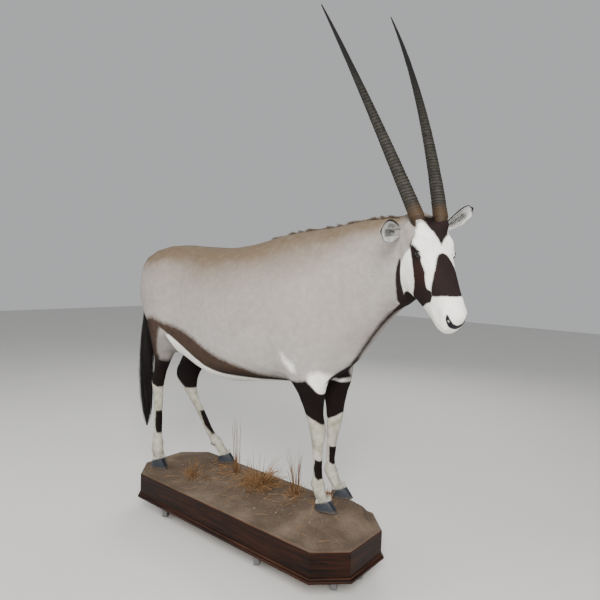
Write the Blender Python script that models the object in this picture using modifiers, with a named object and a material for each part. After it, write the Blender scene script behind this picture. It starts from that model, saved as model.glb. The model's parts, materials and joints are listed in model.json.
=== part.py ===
"""Full body gemsbok mount on a wheeled walnut base.

Frame: metres, +X is the way the animal faces, +Y its left side, +Z up. The origin lies on
the floor under the middle of the whole mount. The animal and the base are each modelled
about their own empty, and both empties hang from one that centres the mount.
"""
import math

import bmesh
import bpy
import numpy as np
from mathutils import Matrix, Vector

GAP = 0.0003                       # between pieces that touch

# The whole mount: where the middle of the base lies in the part's frame.
BASE_CENTRE = (-0.1157, -0.0366)

# Base: an elongated octagon of boards with a stepped moulding at its foot.
BASE_LENGTH = 1.300
BASE_WIDTH = 0.446
CORNER_CUT = 0.110
FOOT_Z = 0.095                     # underside of the moulding
MOULDING_HEIGHT = 0.016
MOULDING_OUT = 0.0115
RIM_Z = 0.211
BOARD_THICKNESS = 0.020
DECK_THICKNESS = 0.018

# Casters: three pairs, at (x, half spacing) under the deck, with their swivel angles.
CASTER_PAIRS = ((-0.42, 0.160), (0.21, 0.160), (0.555, 0.080))
CASTER_ANGLES = (-52, 24, -48, 35, -60, 140)
WHEEL_RADIUS = 0.0375
WHEEL_WIDTH = 0.024
WHEEL_SIDES = 14
WHEEL_BEVEL = 0.004
CASTER_TRAIL = 0.022               # axle behind the swivel
AXLE_RADIUS = 0.004
AXLE_END = 0.004                   # axle head proud of the fork
PLATE_SIZE = (0.060, 0.048, 0.0025)
RACE_RADIUS = 0.019
RACE_HEIGHT = 0.006
CROWN_LENGTH = 0.040
CROWN_THICKNESS = 0.0035
FORK_LEG_LENGTH = 0.022
FORK_LEG_THICKNESS = 0.0025
FORK_LEG_BELOW_AXLE = 0.011
WHEEL_CLEARANCE = 0.0015           # beside the wheel

# Animal: its own frame stands on the base, turned a little to its left.
ANIMAL_YAW = math.radians(3.5)
ANIMAL_PLACE = (0.0, 0.03, 0.0)

# Head: middle between the eyes, and how the head is turned, in the animal's frame.
HEAD_PLACE = Vector((0.890, -0.165, 1.320))
HEAD_YAW = math.radians(-32)
HEAD_PITCH = math.radians(54)
HEAD_ROLL = math.radians(3.3)

# Back and neck: top x, top z, bottom x, bottom z, middle y, yaw in degrees, half width.
TRUNK_SECTIONS = (
    (-0.742, 1.225, -0.738, 1.100, 0.0, 0, 0.050),
    (-0.725, 1.290, -0.715, 1.000, 0.0, 0, 0.110),
    (-0.680, 1.338, -0.670, 0.950, 0.0, 0, 0.158),
    (-0.600, 1.366, -0.600, 0.920, 0.0, 0, 0.188),
    (-0.500, 1.374, -0.500, 0.850, 0.0, 0, 0.203),
    (-0.380, 1.362, -0.380, 0.786, 0.0, 0, 0.209),
    (-0.250, 1.355, -0.250, 0.738, 0.0, 0, 0.222),
    (-0.120, 1.356, -0.120, 0.722, 0.0, 0, 0.236),
    (0.020, 1.375, 0.020, 0.737, 0.0, 0, 0.238),
    (0.130, 1.405, 0.130, 0.755, 0.0, 0, 0.228),
    (0.240, 1.428, 0.240, 0.770, 0.0, 0, 0.212),
    (0.330, 1.432, 0.340, 0.785, 0.0, 0, 0.196),
    (0.390, 1.437, 0.430, 0.812, 0.0, -2, 0.178),
    (0.440, 1.444, 0.500, 0.862, -0.004, -4, 0.158),
    (0.490, 1.454, 0.552, 0.932, -0.012, -8, 0.142),
    (0.540, 1.464, 0.604, 1.000, -0.025, -12, 0.126),
    (0.590, 1.469, 0.656, 1.060, -0.040, -17, 0.112),
    (0.640, 1.470, 0.714, 1.110, -0.060, -22, 0.100),
    (0.690, 1.468, 0.768, 1.143, -0.082, -27, 0.090),
    (0.745, 1.462, 0.803, 1.178, -0.102, -30, 0.083),
    (0.800, 1.448, 0.818, 1.240, -0.120, -32, 0.074),
)
TRUNK_WIDEST = 0.46                # height of the widest place, as a share of the section
TRUNK_POWER = 2.25

# Head, in its own frame, x towards the nose: x, top, bottom, height of widest, half width.
HEAD_SECTIONS = (
    (-0.200, -0.005, -0.085, -0.040, 0.036),
    (-0.178, 0.030, -0.108, -0.040, 0.056),
    (-0.140, 0.050, -0.130, -0.036, 0.072),
    (-0.100, 0.056, -0.144, -0.030, 0.080),
    (-0.055, 0.058, -0.154, -0.024, 0.082),
    (-0.010, 0.057, -0.158, -0.022, 0.078),
    (0.040, 0.054, -0.152, -0.022, 0.068),
    (0.080, 0.050, -0.138, -0.022, 0.060),
    (0.120, 0.046, -0.121, -0.020, 0.053),
    (0.160, 0.042, -0.104, -0.018, 0.048),
    (0.200, 0.039, -0.093, -0.016, 0.046),
    (0.235, 0.034, -0.088, -0.018, 0.045),
    (0.258, 0.022, -0.083, -0.024, 0.039),
    (0.274, 0.000, -0.070, -0.034, 0.026),
)
HEAD_POWER = 2.5
BROW = (-0.042, 0.061, 0.024)      # middle of the left brow in the head's frame
BROW_SIZE = (0.042, 0.024, 0.025)
PEDICLE = (-0.104, 0.045, 0.050)   # swelling that the left horn stands on
PEDICLE_SIZE = (0.036, 0.033, 0.036)
EYE = (0.003, 0.059, 0.018)        # middle of the left eyeball in the head's frame
EYE_RADIUS = 0.018
EYE_FACETS = (10, 7)               # round and from pole to pole, for the ball and its socket

# Ears: root in the head's frame, then the way each points and opens in the animal's frame.
EAR_ROOT = (-0.120, 0.072, -0.020)
EAR_LENGTH = 0.172
EAR_WIDTH = 0.072
EAR_THICKNESS = 0.0055
EAR_ROOT_CURL = math.radians(78)   # how far the cup wraps round at the root
EAR_TIP_CURL = math.radians(40)
RIGHT_EAR_WAY = (-0.004, -1.0, 0.017)
RIGHT_EAR_OPENS = (1.0, 0.0, -0.05)
LEFT_EAR_WAY = (0.506, 0.631, 0.587)
LEFT_EAR_OPENS = (0.96, -0.28, -0.05)

# Horns, left one in the head's frame: root, first and second order terms of the axis.
HORN_ROOT = Vector((-0.1216, 0.0465, 0.0608))
HORN_RUN = Vector((-1.086, 0.175, 0.1834))
HORN_BEND = Vector((-0.009, -0.0565, -0.109))
HORN_RADIUS = 0.0255
HORN_TIP_RADIUS = 0.0025
HORN_RINGED_SHARE = 0.60
HORN_RING_COUNT = 19
HORN_RING_DEPTH = 0.0022
HORN_SIDES = 8
HORN_SEAT = 0.022                  # how deep the root sits in the head

# Legs, from the body down: x, y, z, fore and aft radius, sideways radius.
RIGHT_FORELEG = (
    (0.300, -0.105, 1.040, 0.120, 0.060),
    (0.330, -0.112, 0.920, 0.108, 0.064),
    (0.356, -0.098, 0.820, 0.090, 0.056),
    (0.366, -0.083, 0.745, 0.064, 0.047),
    (0.373, -0.068, 0.670, 0.042, 0.036),
    (0.383, -0.057, 0.612, 0.038, 0.036),
    (0.388, -0.054, 0.575, 0.034, 0.033),
    (0.388, -0.052, 0.530, 0.026, 0.025),
    (0.390, -0.050, 0.460, 0.022, 0.021),
    (0.391, -0.048, 0.400, 0.022, 0.021),
    (0.391, -0.048, 0.362, 0.029, 0.027),
    (0.405, -0.047, 0.327, 0.026, 0.027),
    (0.424, -0.046, 0.296, 0.031, 0.031),
)
LEFT_FORELEG = (
    (0.300, 0.105, 1.040, 0.120, 0.060),
    (0.335, 0.112, 0.920, 0.108, 0.064),
    (0.366, 0.104, 0.820, 0.092, 0.056),
    (0.372, 0.097, 0.745, 0.065, 0.047),
    (0.376, 0.092, 0.672, 0.045, 0.036),
    (0.379, 0.088, 0.617, 0.038, 0.036),
    (0.378, 0.087, 0.580, 0.034, 0.033),
    (0.374, 0.086, 0.535, 0.026, 0.025),
    (0.370, 0.086, 0.468, 0.022, 0.021),
    (0.369, 0.086, 0.410, 0.022, 0.021),
    (0.372, 0.087, 0.372, 0.029, 0.027),
    (0.392, 0.088, 0.337, 0.026, 0.027),
    (0.416, 0.089, 0.308, 0.031, 0.031),
)
RIGHT_HIND_LEG = (
    (-0.520, -0.108, 1.150, 0.170, 0.070),
    (-0.505, -0.122, 1.000, 0.134, 0.070),
    (-0.508, -0.120, 0.910, 0.102, 0.060),
    (-0.522, -0.112, 0.840, 0.074, 0.049),
    (-0.543, -0.103, 0.775, 0.051, 0.039),
    (-0.568, -0.097, 0.715, 0.040, 0.031),
    (-0.585, -0.096, 0.668, 0.041, 0.030),
    (-0.583, -0.098, 0.625, 0.032, 0.027),
    (-0.576, -0.100, 0.575, 0.025, 0.023),
    (-0.568, -0.104, 0.460, 0.022, 0.021),
    (-0.565, -0.108, 0.390, 0.023, 0.021),
    (-0.563, -0.110, 0.340, 0.029, 0.027),
    (-0.554, -0.112, 0.300, 0.026, 0.026),
    (-0.545, -0.114, 0.266, 0.031, 0.031),
)
LEFT_HIND_LEG = (
    (-0.500, 0.108, 1.150, 0.170, 0.070),
    (-0.470, 0.122, 1.000, 0.134, 0.070),
    (-0.464, 0.118, 0.910, 0.118, 0.060),
    (-0.474, 0.108, 0.840, 0.108, 0.049),
    (-0.512, 0.098, 0.770, 0.104, 0.042),
    (-0.558, 0.092, 0.705, 0.090, 0.036),
    (-0.574, 0.090, 0.655, 0.080, 0.031),
    (-0.562, 0.092, 0.618, 0.062, 0.028),
    (-0.541, 0.094, 0.575, 0.042, 0.024),
    (-0.488, 0.108, 0.492, 0.028, 0.021),
    (-0.428, 0.123, 0.385, 0.026, 0.021),
    (-0.388, 0.132, 0.335, 0.031, 0.027),
    (-0.352, 0.138, 0.298, 0.028, 0.026),
    (-0.326, 0.142, 0.268, 0.032, 0.031),
)
LEG_POWER = 2.1
TAIL_DOCK = (                      # x, y, z, fore and aft radius, sideways radius
    (-0.700, 0.000, 1.335, 0.030, 0.030),
    (-0.752, -0.004, 1.285, 0.022, 0.024),
    (-0.770, -0.010, 1.200, 0.018, 0.020),
    (-0.780, -0.016, 1.120, 0.015, 0.017),
    (-0.786, -0.020, 1.060, 0.013, 0.015),
)
TAIL_SWITCH = (
    (-0.787, -0.020, 1.055, 0.015, 0.016),
    (-0.790, -0.021, 0.960, 0.018, 0.019),
    (-0.791, -0.022, 0.840, 0.027, 0.026),
    (-0.790, -0.022, 0.700, 0.034, 0.030),
    (-0.784, -0.022, 0.560, 0.031, 0.026),
    (-0.773, -0.022, 0.450, 0.020, 0.017),
    (-0.762, -0.022, 0.370, 0.006, 0.006),
)
CREST = (                          # the mane's roots: x, y, z along neck and withers
    (0.080, 0.0, 1.384),
    (0.200, 0.0, 1.420),
    (0.330, 0.0, 1.432),
    (0.450, -0.006, 1.446),
    (0.580, -0.038, 1.466),
    (0.690, -0.084, 1.464),
)
CREST_RADIUS = 0.009

# Hooves: middle of each coronet, toe heading in degrees, and height of the sole.
HOOVES = {
    "right_fore": ((0.424, -0.046, 0.296), -4, 0.262),
    "left_fore": ((0.416, 0.089, 0.308), 4, 0.274),
    "right_hind": ((-0.545, -0.114, 0.262), -4, 0.221),
    "left_hind": ((-0.326, 0.142, 0.268), 10, 0.232),
}
CORONET_SLOPE = math.radians(16)
CLAW_TOE = 0.068                   # toe ahead of the coronet's middle
CLAW_HEEL = 0.030
CLAW_WIDTH = 0.031
CLAW_SPLIT = 0.0015                # half the gap between the two claws
DEWCLAW_BACK = 0.025
DEWCLAW_SIDE = 0.016
DEWCLAW_RADIUS = 0.011
DEWCLAW_RISE = 0.052               # above the coronet

# Ground: mounds of sand as x, y, height above the rim, radius, in the base's frame.
MOUNDS = (
    (0.43, 0.02, 0.034, 0.13),
    (0.42, 0.15, 0.058, 0.12),
    (0.51, 0.17, 0.046, 0.08),
    (-0.31, 0.12, 0.026, 0.13),
    (-0.02, 0.12, 0.022, 0.20),
    (-0.55, 0.05, 0.012, 0.14),
    (-0.54, -0.10, 0.012, 0.10),
    (0.20, 0.14, 0.020, 0.16),
)
GROUND_EDGE_DROP = 0.002
GROUND_CELLS = (33, 11)
PAD_RADIUS = 0.078                 # flat place under each hoof
PAD_BANK = 0.5                     # how steeply the sand may rise around it

# Grass forms: root x and y in the base's frame, tip offset x and y, height, radius.
GRASS = {
    "grass_tall": ((-0.170, 0.085), (-0.01, -0.01), 0.335, 0.020),
    "grass_clump": ((0.015, 0.050), (0.02, 0.0), 0.120, 0.115),
    "grass_front": ((0.215, 0.085), (0.0, -0.03), 0.235, 0.050),
    "grass_rear": ((-0.320, -0.075), (0.02, 0.0), 0.110, 0.060),
    "grass_between": ((0.400, 0.077), (0.01, 0.0), 0.055, 0.024),
}

VOXEL = 0.009                      # grid that fuses the skin's masses
HIDE_TRIANGLES = 3500


def clear_scene():
    """Start from an empty scene with one collection for the parts and one for cutters."""
    for old in list(bpy.data.objects):
        bpy.data.objects.remove(old, do_unlink=True)
    groups = []
    for name in ("gemsbok_mount", "gemsbok_mount_cutters"):
        group = bpy.data.collections.new(name)
        bpy.context.scene.collection.children.link(group)
        groups.append(group)
    return groups


PARTS, CUTTERS = clear_scene()


def material(name, colour, roughness, metallic=0.0):
    """Principled material with one colour."""
    made = bpy.data.materials.new(name)
    made.use_nodes = True
    shader = made.node_tree.nodes["Principled BSDF"]
    shader.inputs["Base Color"].default_value = (*colour, 1.0)
    shader.inputs["Roughness"].default_value = roughness
    shader.inputs["Metallic"].default_value = metallic
    return made


FUR = material("grey_fawn_fur", (0.40, 0.34, 0.28), 0.9)
HORN = material("dark_horn", (0.03, 0.026, 0.022), 0.45)
HOOF = material("hoof_horn", (0.035, 0.036, 0.04), 0.4)
EYE_GLASS = material("eye_glass", (0.012, 0.008, 0.006), 0.05)
BLACK_HAIR = material("black_tail_hair", (0.012, 0.01, 0.01), 0.6)
WALNUT = material("walnut", (0.045, 0.018, 0.010), 0.35)
MOULDING_WOOD = material("moulding_wood", (0.11, 0.055, 0.04), 0.4)
PLYWOOD = material("deck_plywood", (0.35, 0.25, 0.16), 0.7)
SAND = material("sand", (0.22, 0.17, 0.13), 0.95)
DRY_GRASS = material("dry_grass", (0.32, 0.21, 0.12), 0.8)
ZINC = material("zinc_plate", (0.55, 0.55, 0.55), 0.35, 1.0)
GREY_RUBBER = material("grey_wheel", (0.16, 0.16, 0.17), 0.6)


def empty(name, parent=None, location=(0, 0, 0), yaw=0.0):
    """Empty that carries pieces."""
    made = bpy.data.objects.new(name, None)
    made.location = location
    made.rotation_euler = (0, 0, yaw)
    made.parent = parent
    PARTS.objects.link(made)
    return made


MOUNT = empty("mount_origin", None, (*BASE_CENTRE, 0))
ANIMAL = empty("animal_origin", MOUNT, ANIMAL_PLACE, ANIMAL_YAW)


def add_object(name, mesh, look, parent, group=None):
    """Object in the parts collection, or in the cutters when a group is given."""
    made = bpy.data.objects.new(name, mesh)
    (group or PARTS).objects.link(made)
    made.parent = parent
    if look:
        mesh.materials.clear()
        mesh.materials.append(look)
    if group == CUTTERS:
        made.hide_render = True
        made.display_type = "WIRE"
    return made


def baked(thing):
    """Mesh of an object with its modifiers, in the object's own frame."""
    bpy.context.view_layer.update()
    graph = bpy.context.evaluated_depsgraph_get()
    mesh = bpy.data.meshes.new_from_object(thing.evaluated_get(graph))
    return mesh


def smooth_shade(mesh, sharp=40):
    """Round look with edges kept where the surface turns quickly."""
    mesh.shade_smooth()
    mesh.set_sharp_from_angle(angle=math.radians(sharp))
    return mesh


def through(rows, steps):
    """Catmull-Rom rows: the given ones with others between them."""
    rows = np.array(rows, float)
    ends = np.vstack([2 * rows[0] - rows[1], rows, 2 * rows[-1] - rows[-2]])
    made = []
    for start in range(len(rows) - 1):
        a, b, c, d = ends[start:start + 4]
        for step in range(steps):
            t = step / steps
            made.append(0.5 * (2 * b + (c - a) * t + (2 * a - 5 * b + 4 * c - d) * t ** 2
                               + (3 * b - a - 3 * c + d) * t ** 3))
    made.append(rows[-1])
    return np.array(made)


def outline(count, power):
    """Superellipse of unit half sizes: sideways and upward shares of each point."""
    angles = np.arange(count) * (2 * math.pi / count)
    side, up = np.cos(angles), np.sin(angles)
    return (np.sign(side) * np.abs(side) ** (2 / power), np.sign(up) * np.abs(up) ** (2 / power))


def loft(name, rings):
    """Closed skin over rings of points, as a mesh."""
    shape = bmesh.new()
    rows = [[shape.verts.new(point) for point in ring] for ring in rings]
    count = len(rows[0])
    for low, high in zip(rows, rows[1:]):
        for i in range(count):
            j = (i + 1) % count
            shape.faces.new((low[i], low[j], high[j], high[i]))
    shape.faces.new(rows[0][::-1])
    shape.faces.new(rows[-1])
    bmesh.ops.recalc_face_normals(shape, faces=shape.faces)
    mesh = bpy.data.meshes.new(name)
    shape.to_mesh(mesh)
    shape.free()
    return mesh


def trunk_rings(count, steps):
    """Rings of the back and neck; each stands between its top and bottom point."""
    side, up = outline(count, TRUNK_POWER)
    rings = []
    for top_x, top_z, low_x, low_z, y, yaw, half in through(TRUNK_SECTIONS, steps):
        turn = math.radians(yaw)
        across = np.array((-math.sin(turn), math.cos(turn), 0.0))
        top, low = np.array((top_x, y, top_z)), np.array((low_x, y, low_z))
        middle = low + TRUNK_WIDEST * (top - low)
        rise = np.where(up[:, None] > 0, top - middle, middle - low)
        rings.append(middle + np.outer(side * half, across) + up[:, None] * rise)
    return rings


def leg_rings(rows, count, steps, power=LEG_POWER):
    """Level rings along a limb or the tail."""
    side, up = outline(count, power)
    return [np.stack([x + fore * up, y + half * side, np.full(count, z)], 1)
            for x, y, z, fore, half in through(rows, steps)]


def head_matrix():
    """The head's frame in the animal's: x towards the nose, z out of the forehead."""
    turn = (Matrix.Rotation(HEAD_YAW, 4, "Z") @ Matrix.Rotation(HEAD_PITCH, 4, "Y")
            @ Matrix.Rotation(HEAD_ROLL, 4, "X"))
    return Matrix.Translation(HEAD_PLACE) @ turn


HEAD = head_matrix()


def head_rings(count, steps):
    """Rings of the head across its length, in the head's frame."""
    side, up = outline(count, HEAD_POWER)
    rings = []
    for x, top, low, wide, half in through(HEAD_SECTIONS, steps):
        rise = np.where(up > 0, top - wide, wide - low)
        rings.append(np.stack([np.full(count, x), half * side, wide + up * rise], 1))
    return rings


def ball(name, centre, size, frame, segments=16, rings=10):
    """Ellipsoid mesh at a place in a frame."""
    shape = bmesh.new()
    bmesh.ops.create_uvsphere(shape, u_segments=segments, v_segments=rings, radius=1.0)
    place = frame @ Matrix.Translation(centre) @ Matrix.Diagonal((*size, 1.0))
    bmesh.ops.transform(shape, matrix=place, verts=shape.verts)
    mesh = bpy.data.meshes.new(name)
    shape.to_mesh(mesh)
    shape.free()
    return mesh


def joined(name, meshes):
    """One mesh holding several."""
    shape = bmesh.new()
    for mesh in meshes:
        shape.from_mesh(mesh)
    whole = bpy.data.meshes.new(name)
    shape.to_mesh(whole)
    shape.free()
    return whole


def mirrored(point, sign):
    """Left-hand place, or its twin on the right when sign is -1."""
    return Vector((point[0], sign * point[1], point[2]))


def hide_masses():
    """Overlapping solids of body, neck, head, legs and tail root."""
    head = loft("head", head_rings(24, 3))
    head.transform(HEAD)
    masses = [loft("trunk", trunk_rings(32, 3)), head]
    for rows in (RIGHT_FORELEG, LEFT_FORELEG, RIGHT_HIND_LEG, LEFT_HIND_LEG):
        masses.append(loft("leg", leg_rings(rows, 20, 3)))
    masses.append(loft("dock", leg_rings(TAIL_DOCK, 12, 2)))
    for sign in (1, -1):
        masses.append(ball("brow", mirrored(BROW, sign), BROW_SIZE, HEAD))
        masses.append(ball("pedicle", mirrored(PEDICLE, sign), PEDICLE_SIZE, HEAD))
    crest = [np.stack([np.full(8, x), y + CREST_RADIUS * outline(8, 2)[0],
                       z + CREST_RADIUS * outline(8, 2)[1]], 1) for x, y, z in through(CREST, 6)]
    masses.append(loft("crest", crest))
    return joined("hide_masses", masses)


def softness(point):
    """How strongly a point of the skin is smoothed: full on the body, little on thin parts."""
    above_legs = min(max((point.z - 0.66) / 0.16, 0.0), 1.0)
    to_head = (point - HEAD_PLACE).length
    off_head = min(max((to_head - 0.16) / 0.14, 0.0), 1.0)
    off_tail = min(max((point.x + 0.775) / 0.05, 0.0), 1.0)
    return max(min(above_legs, off_head, off_tail), 0.06)


def modifier(thing, kind, **values):
    """Add a modifier with the given settings."""
    made = thing.modifiers.new(kind.lower(), kind)
    for key, value in values.items():
        setattr(made, key, value)
    return made


def swap_mesh(thing, mesh):
    """Give the object a finished mesh and drop its modifiers."""
    thing.modifiers.clear()
    thing.data = mesh


def weigh(thing, name, value_of):
    """Vertex group whose weights follow a function of the place."""
    group = thing.vertex_groups.new(name=name)
    for vertex in thing.data.vertices:
        group.add([vertex.index], value_of(vertex.co), "REPLACE")


def fused_hide():
    """Skin fused from its masses, smoothed, then thinned with more left on the head."""
    hide = add_object("hide", hide_masses(), FUR, ANIMAL)
    modifier(hide, "REMESH", mode="VOXEL", voxel_size=VOXEL, adaptivity=0.0)
    swap_mesh(hide, baked(hide))
    weigh(hide, "soft", softness)
    modifier(hide, "SMOOTH", factor=0.5, iterations=22, vertex_group="soft")
    swap_mesh(hide, baked(hide))
    hide.vertex_groups.clear()
    weigh(hide, "keep", lambda point: 0.1 + 0.9 * softness(point))
    now = sum(len(face.vertices) - 2 for face in hide.data.polygons)
    modifier(hide, "DECIMATE", decimate_type="COLLAPSE", ratio=HIDE_TRIANGLES / now,
             vertex_group="keep", vertex_group_factor=1.2, use_collapse_triangulate=True)
    swap_mesh(hide, baked(hide))
    hide.vertex_groups.clear()
    return hide


def ear_mesh(name, root, way, opens):
    """Cupped leaf with a thickness, its root buried in the head."""
    along = Vector(way).normalized()
    out = Vector(opens)
    out = (out - out.dot(along) * along).normalized()
    across = along.cross(out)
    rows, columns = 8, 6
    shape = bmesh.new()
    grid = []
    for i in range(rows):
        t = i / (rows - 1)
        half = 0.5 * EAR_WIDTH * (0.40 + 1.38 * t) * math.sqrt(1.0 - t ** 3.2)
        half = max(half, EAR_THICKNESS)
        curl = EAR_ROOT_CURL + (EAR_TIP_CURL - EAR_ROOT_CURL) * t
        line = []
        for j in range(columns):
            s = 2 * j / (columns - 1) - 1
            bend = s * curl
            radius = half / curl
            place = (root + along * (EAR_LENGTH * t) + across * (radius * math.sin(bend))
                     + out * (radius * (1 - math.cos(bend))))
            line.append(shape.verts.new(place))
        grid.append(line)
    for low, high in zip(grid, grid[1:]):
        for j in range(columns - 1):
            shape.faces.new((low[j], low[j + 1], high[j + 1], high[j]))
    mesh = bpy.data.meshes.new(name)
    shape.to_mesh(mesh)
    shape.free()
    ear = add_object(name, mesh, FUR, ANIMAL, CUTTERS)
    modifier(ear, "SOLIDIFY", thickness=EAR_THICKNESS, offset=0.0, use_even_offset=True)
    swap_mesh(ear, baked(ear))
    return ear


def combine(thing, tool, operation):
    """Boolean of one object with another, baked at once."""
    modifier(thing, "BOOLEAN", operation=operation, solver="EXACT", object=tool)
    swap_mesh(thing, baked(thing))


def drop_specks(thing):
    """Keep the largest body and close up hair-thin leftovers of the cuts."""
    shape = bmesh.new()
    shape.from_mesh(thing.data)
    bmesh.ops.remove_doubles(shape, verts=shape.verts, dist=0.00005)
    seen, bodies = set(), []
    for start in shape.verts:
        if start in seen:
            continue
        body, front = [], [start]
        seen.add(start)
        while front:
            vertex = front.pop()
            body.append(vertex)
            for edge in vertex.link_edges:
                other = edge.other_vert(vertex)
                if other not in seen:
                    seen.add(other)
                    front.append(other)
        bodies.append(body)
    bodies.sort(key=len)
    for body in bodies[:-1]:
        bmesh.ops.delete(shape, geom=body, context="VERTS")
    bmesh.ops.triangulate(shape, faces=shape.faces)
    shape.to_mesh(thing.data)
    shape.free()


def horn_point(t, sign):
    """Point of a horn's axis in the animal's frame, t from 0 at the skin to 1 at the tip."""
    local = HORN_ROOT + HORN_RUN * t + HORN_BEND * (t * t)
    return HEAD @ mirrored(local, sign)


def horn_frames(levels, sign):
    """Place, and the two directions across the axis, at each level of a horn."""
    frames = []
    ahead = HEAD.to_3x3() @ Vector((0, 0, 1))
    for t in levels:
        way = (horn_point(t + 0.001, sign) - horn_point(t - 0.001, sign)).normalized()
        one = (ahead - ahead.dot(way) * way).normalized()
        frames.append((horn_point(t, sign), one, way.cross(one)))
    return frames


def horn_radius(t):
    """Taper of a horn, a little fuller than a straight cone."""
    t = min(max(t, 0.0), 1.0)
    return HORN_TIP_RADIUS + (HORN_RADIUS - HORN_TIP_RADIUS) * (1 - t) ** 0.86


def horn_levels():
    """Levels and radii of a horn's rings: seat, ridges and hollows, then the smooth tip."""
    length = HORN_RUN.length
    rows = [(-HORN_SEAT / length, HORN_RADIUS * 0.9), (0.004, HORN_RADIUS)]
    for number in range(HORN_RING_COUNT):
        share = (number + 0.5) / HORN_RING_COUNT
        t = 0.012 + (HORN_RINGED_SHARE - 0.012) * share
        fade = 1.0 - 0.75 * share
        step = HORN_RINGED_SHARE / HORN_RING_COUNT
        rows.append((t, horn_radius(t) + HORN_RING_DEPTH * fade * 0.5))
        rows.append((t + 0.45 * step, horn_radius(t + 0.45 * step) - HORN_RING_DEPTH * fade * 0.5))
    for number in range(1, 8):
        t = HORN_RINGED_SHARE + (1 - HORN_RINGED_SHARE) * number / 7
        rows.append((t, horn_radius(t)))
    return rows


def make_horn(name, sign):
    """Ringed horn, its root in the seat cut into the head."""
    rows = horn_levels()
    side, up = outline(HORN_SIDES, 2)
    rings = []
    for (place, one, two), (_, radius) in zip(horn_frames([row[0] for row in rows], sign), rows):
        rings.append([place + one * (radius * a) + two * (radius * b) for a, b in zip(side, up)])
    return add_object(name, smooth_shade(loft(name, rings), 60), HORN, ANIMAL)


def horn_seat_cutter(name, sign):
    """Smooth taper a little larger than a horn's root."""
    levels = (-(HORN_SEAT + 0.001) / HORN_RUN.length, 0.0, 0.075)
    side, up = outline(12, 2)
    rings = []
    for place, one, two in horn_frames(levels, sign):
        radius = HORN_RADIUS + HORN_RING_DEPTH * 0.5 + GAP
        rings.append([place + one * (radius * a) + two * (radius * b) for a, b in zip(side, up)])
    return add_object(name, loft(name, rings), None, ANIMAL, CUTTERS)


def make_eye(name, sign):
    """Glass eyeball."""
    mesh = ball(name, mirrored(EYE, sign), (EYE_RADIUS,) * 3, HEAD, *EYE_FACETS)
    return add_object(name, smooth_shade(mesh, 60), EYE_GLASS, ANIMAL)


def eye_socket_cutter(name, sign):
    """Ball that leaves clear room for the eyeball."""
    mesh = ball(name, mirrored(EYE, sign), (EYE_RADIUS + 2 * GAP,) * 3, HEAD, *EYE_FACETS)
    return add_object(name, mesh, None, ANIMAL, CUTTERS)


def hoof_frame(leg):
    """Frame at a coronet: x to the toe, level."""
    centre, heading, _ = HOOVES[leg]
    return Matrix.Translation(centre) @ Matrix.Rotation(math.radians(heading), 4, "Z")


def below_coronet_cutter(leg):
    """Block under the sloping coronet that ends the skin of a leg."""
    bpy.ops.mesh.primitive_cube_add(size=1)
    block = bpy.context.active_object
    block.name = f"{leg}_coronet_cutter"
    mesh = block.data
    tilt = Matrix.Rotation(-CORONET_SLOPE, 4, "Y")
    mesh.transform(hoof_frame(leg) @ tilt @ Matrix.Translation((0, 0, -0.05))
                   @ Matrix.Diagonal((0.16, 0.12, 0.10, 1)))
    bpy.data.objects.remove(block)
    return add_object(f"{leg}_coronet_cutter", mesh, None, ANIMAL, CUTTERS)


def claw_outline(count, toe, heel, width, inset):
    """Outline of one claw seen from above: pointed toe, flat inner side."""
    points = []
    for i in range(count):
        angle = 2 * math.pi * i / count
        forward, side = math.cos(angle), math.sin(angle)
        x = (toe if forward > 0 else heel) * forward
        lean = 1.0 - 0.55 * max(forward, 0.0) ** 2
        y = CLAW_SPLIT + inset + 0.5 * width * (1 + side * lean) - 0.10 * width * max(forward, 0)
        points.append((x, max(y, CLAW_SPLIT)))
    return points


def make_claw(name, leg, sign):
    """Half of a cloven hoof, from its flat sole up to the sloping coronet."""
    _, _, sole_z = HOOVES[leg]
    frame = hoof_frame(leg)
    drop = frame.translation.z - sole_z
    rings = []
    for share, toe, heel, width in ((0.0, 1.0, 1.0, 1.0), (0.12, 1.0, 1.05, 1.04),
                                    (0.55, 0.70, 1.0, 0.98), (1.0, 0.42, 0.90, 0.88)):
        ring = []
        for x, y in claw_outline(12, CLAW_TOE * toe, CLAW_HEEL * heel, CLAW_WIDTH * width, 0.0005):
            top = math.tan(CORONET_SLOPE) * x - 0.0006
            ring.append(frame @ Vector((x, sign * y, -drop + share * (drop + top))))
        rings.append(ring)
    return add_object(name, smooth_shade(loft(name, rings), 50), HOOF, ANIMAL)


def dewclaw_mesh(leg, sign):
    """Small blunt knob behind the fetlock, fused to the skin."""
    frame = hoof_frame(leg)
    lean = {"left_hind": -0.050}.get(leg, -0.006)
    centre = Vector((lean - DEWCLAW_BACK, sign * DEWCLAW_SIDE, DEWCLAW_RISE))
    return ball("dewclaw", centre, (DEWCLAW_RADIUS, DEWCLAW_RADIUS, DEWCLAW_RADIUS * 1.5),
                frame, 6, 4)


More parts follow.
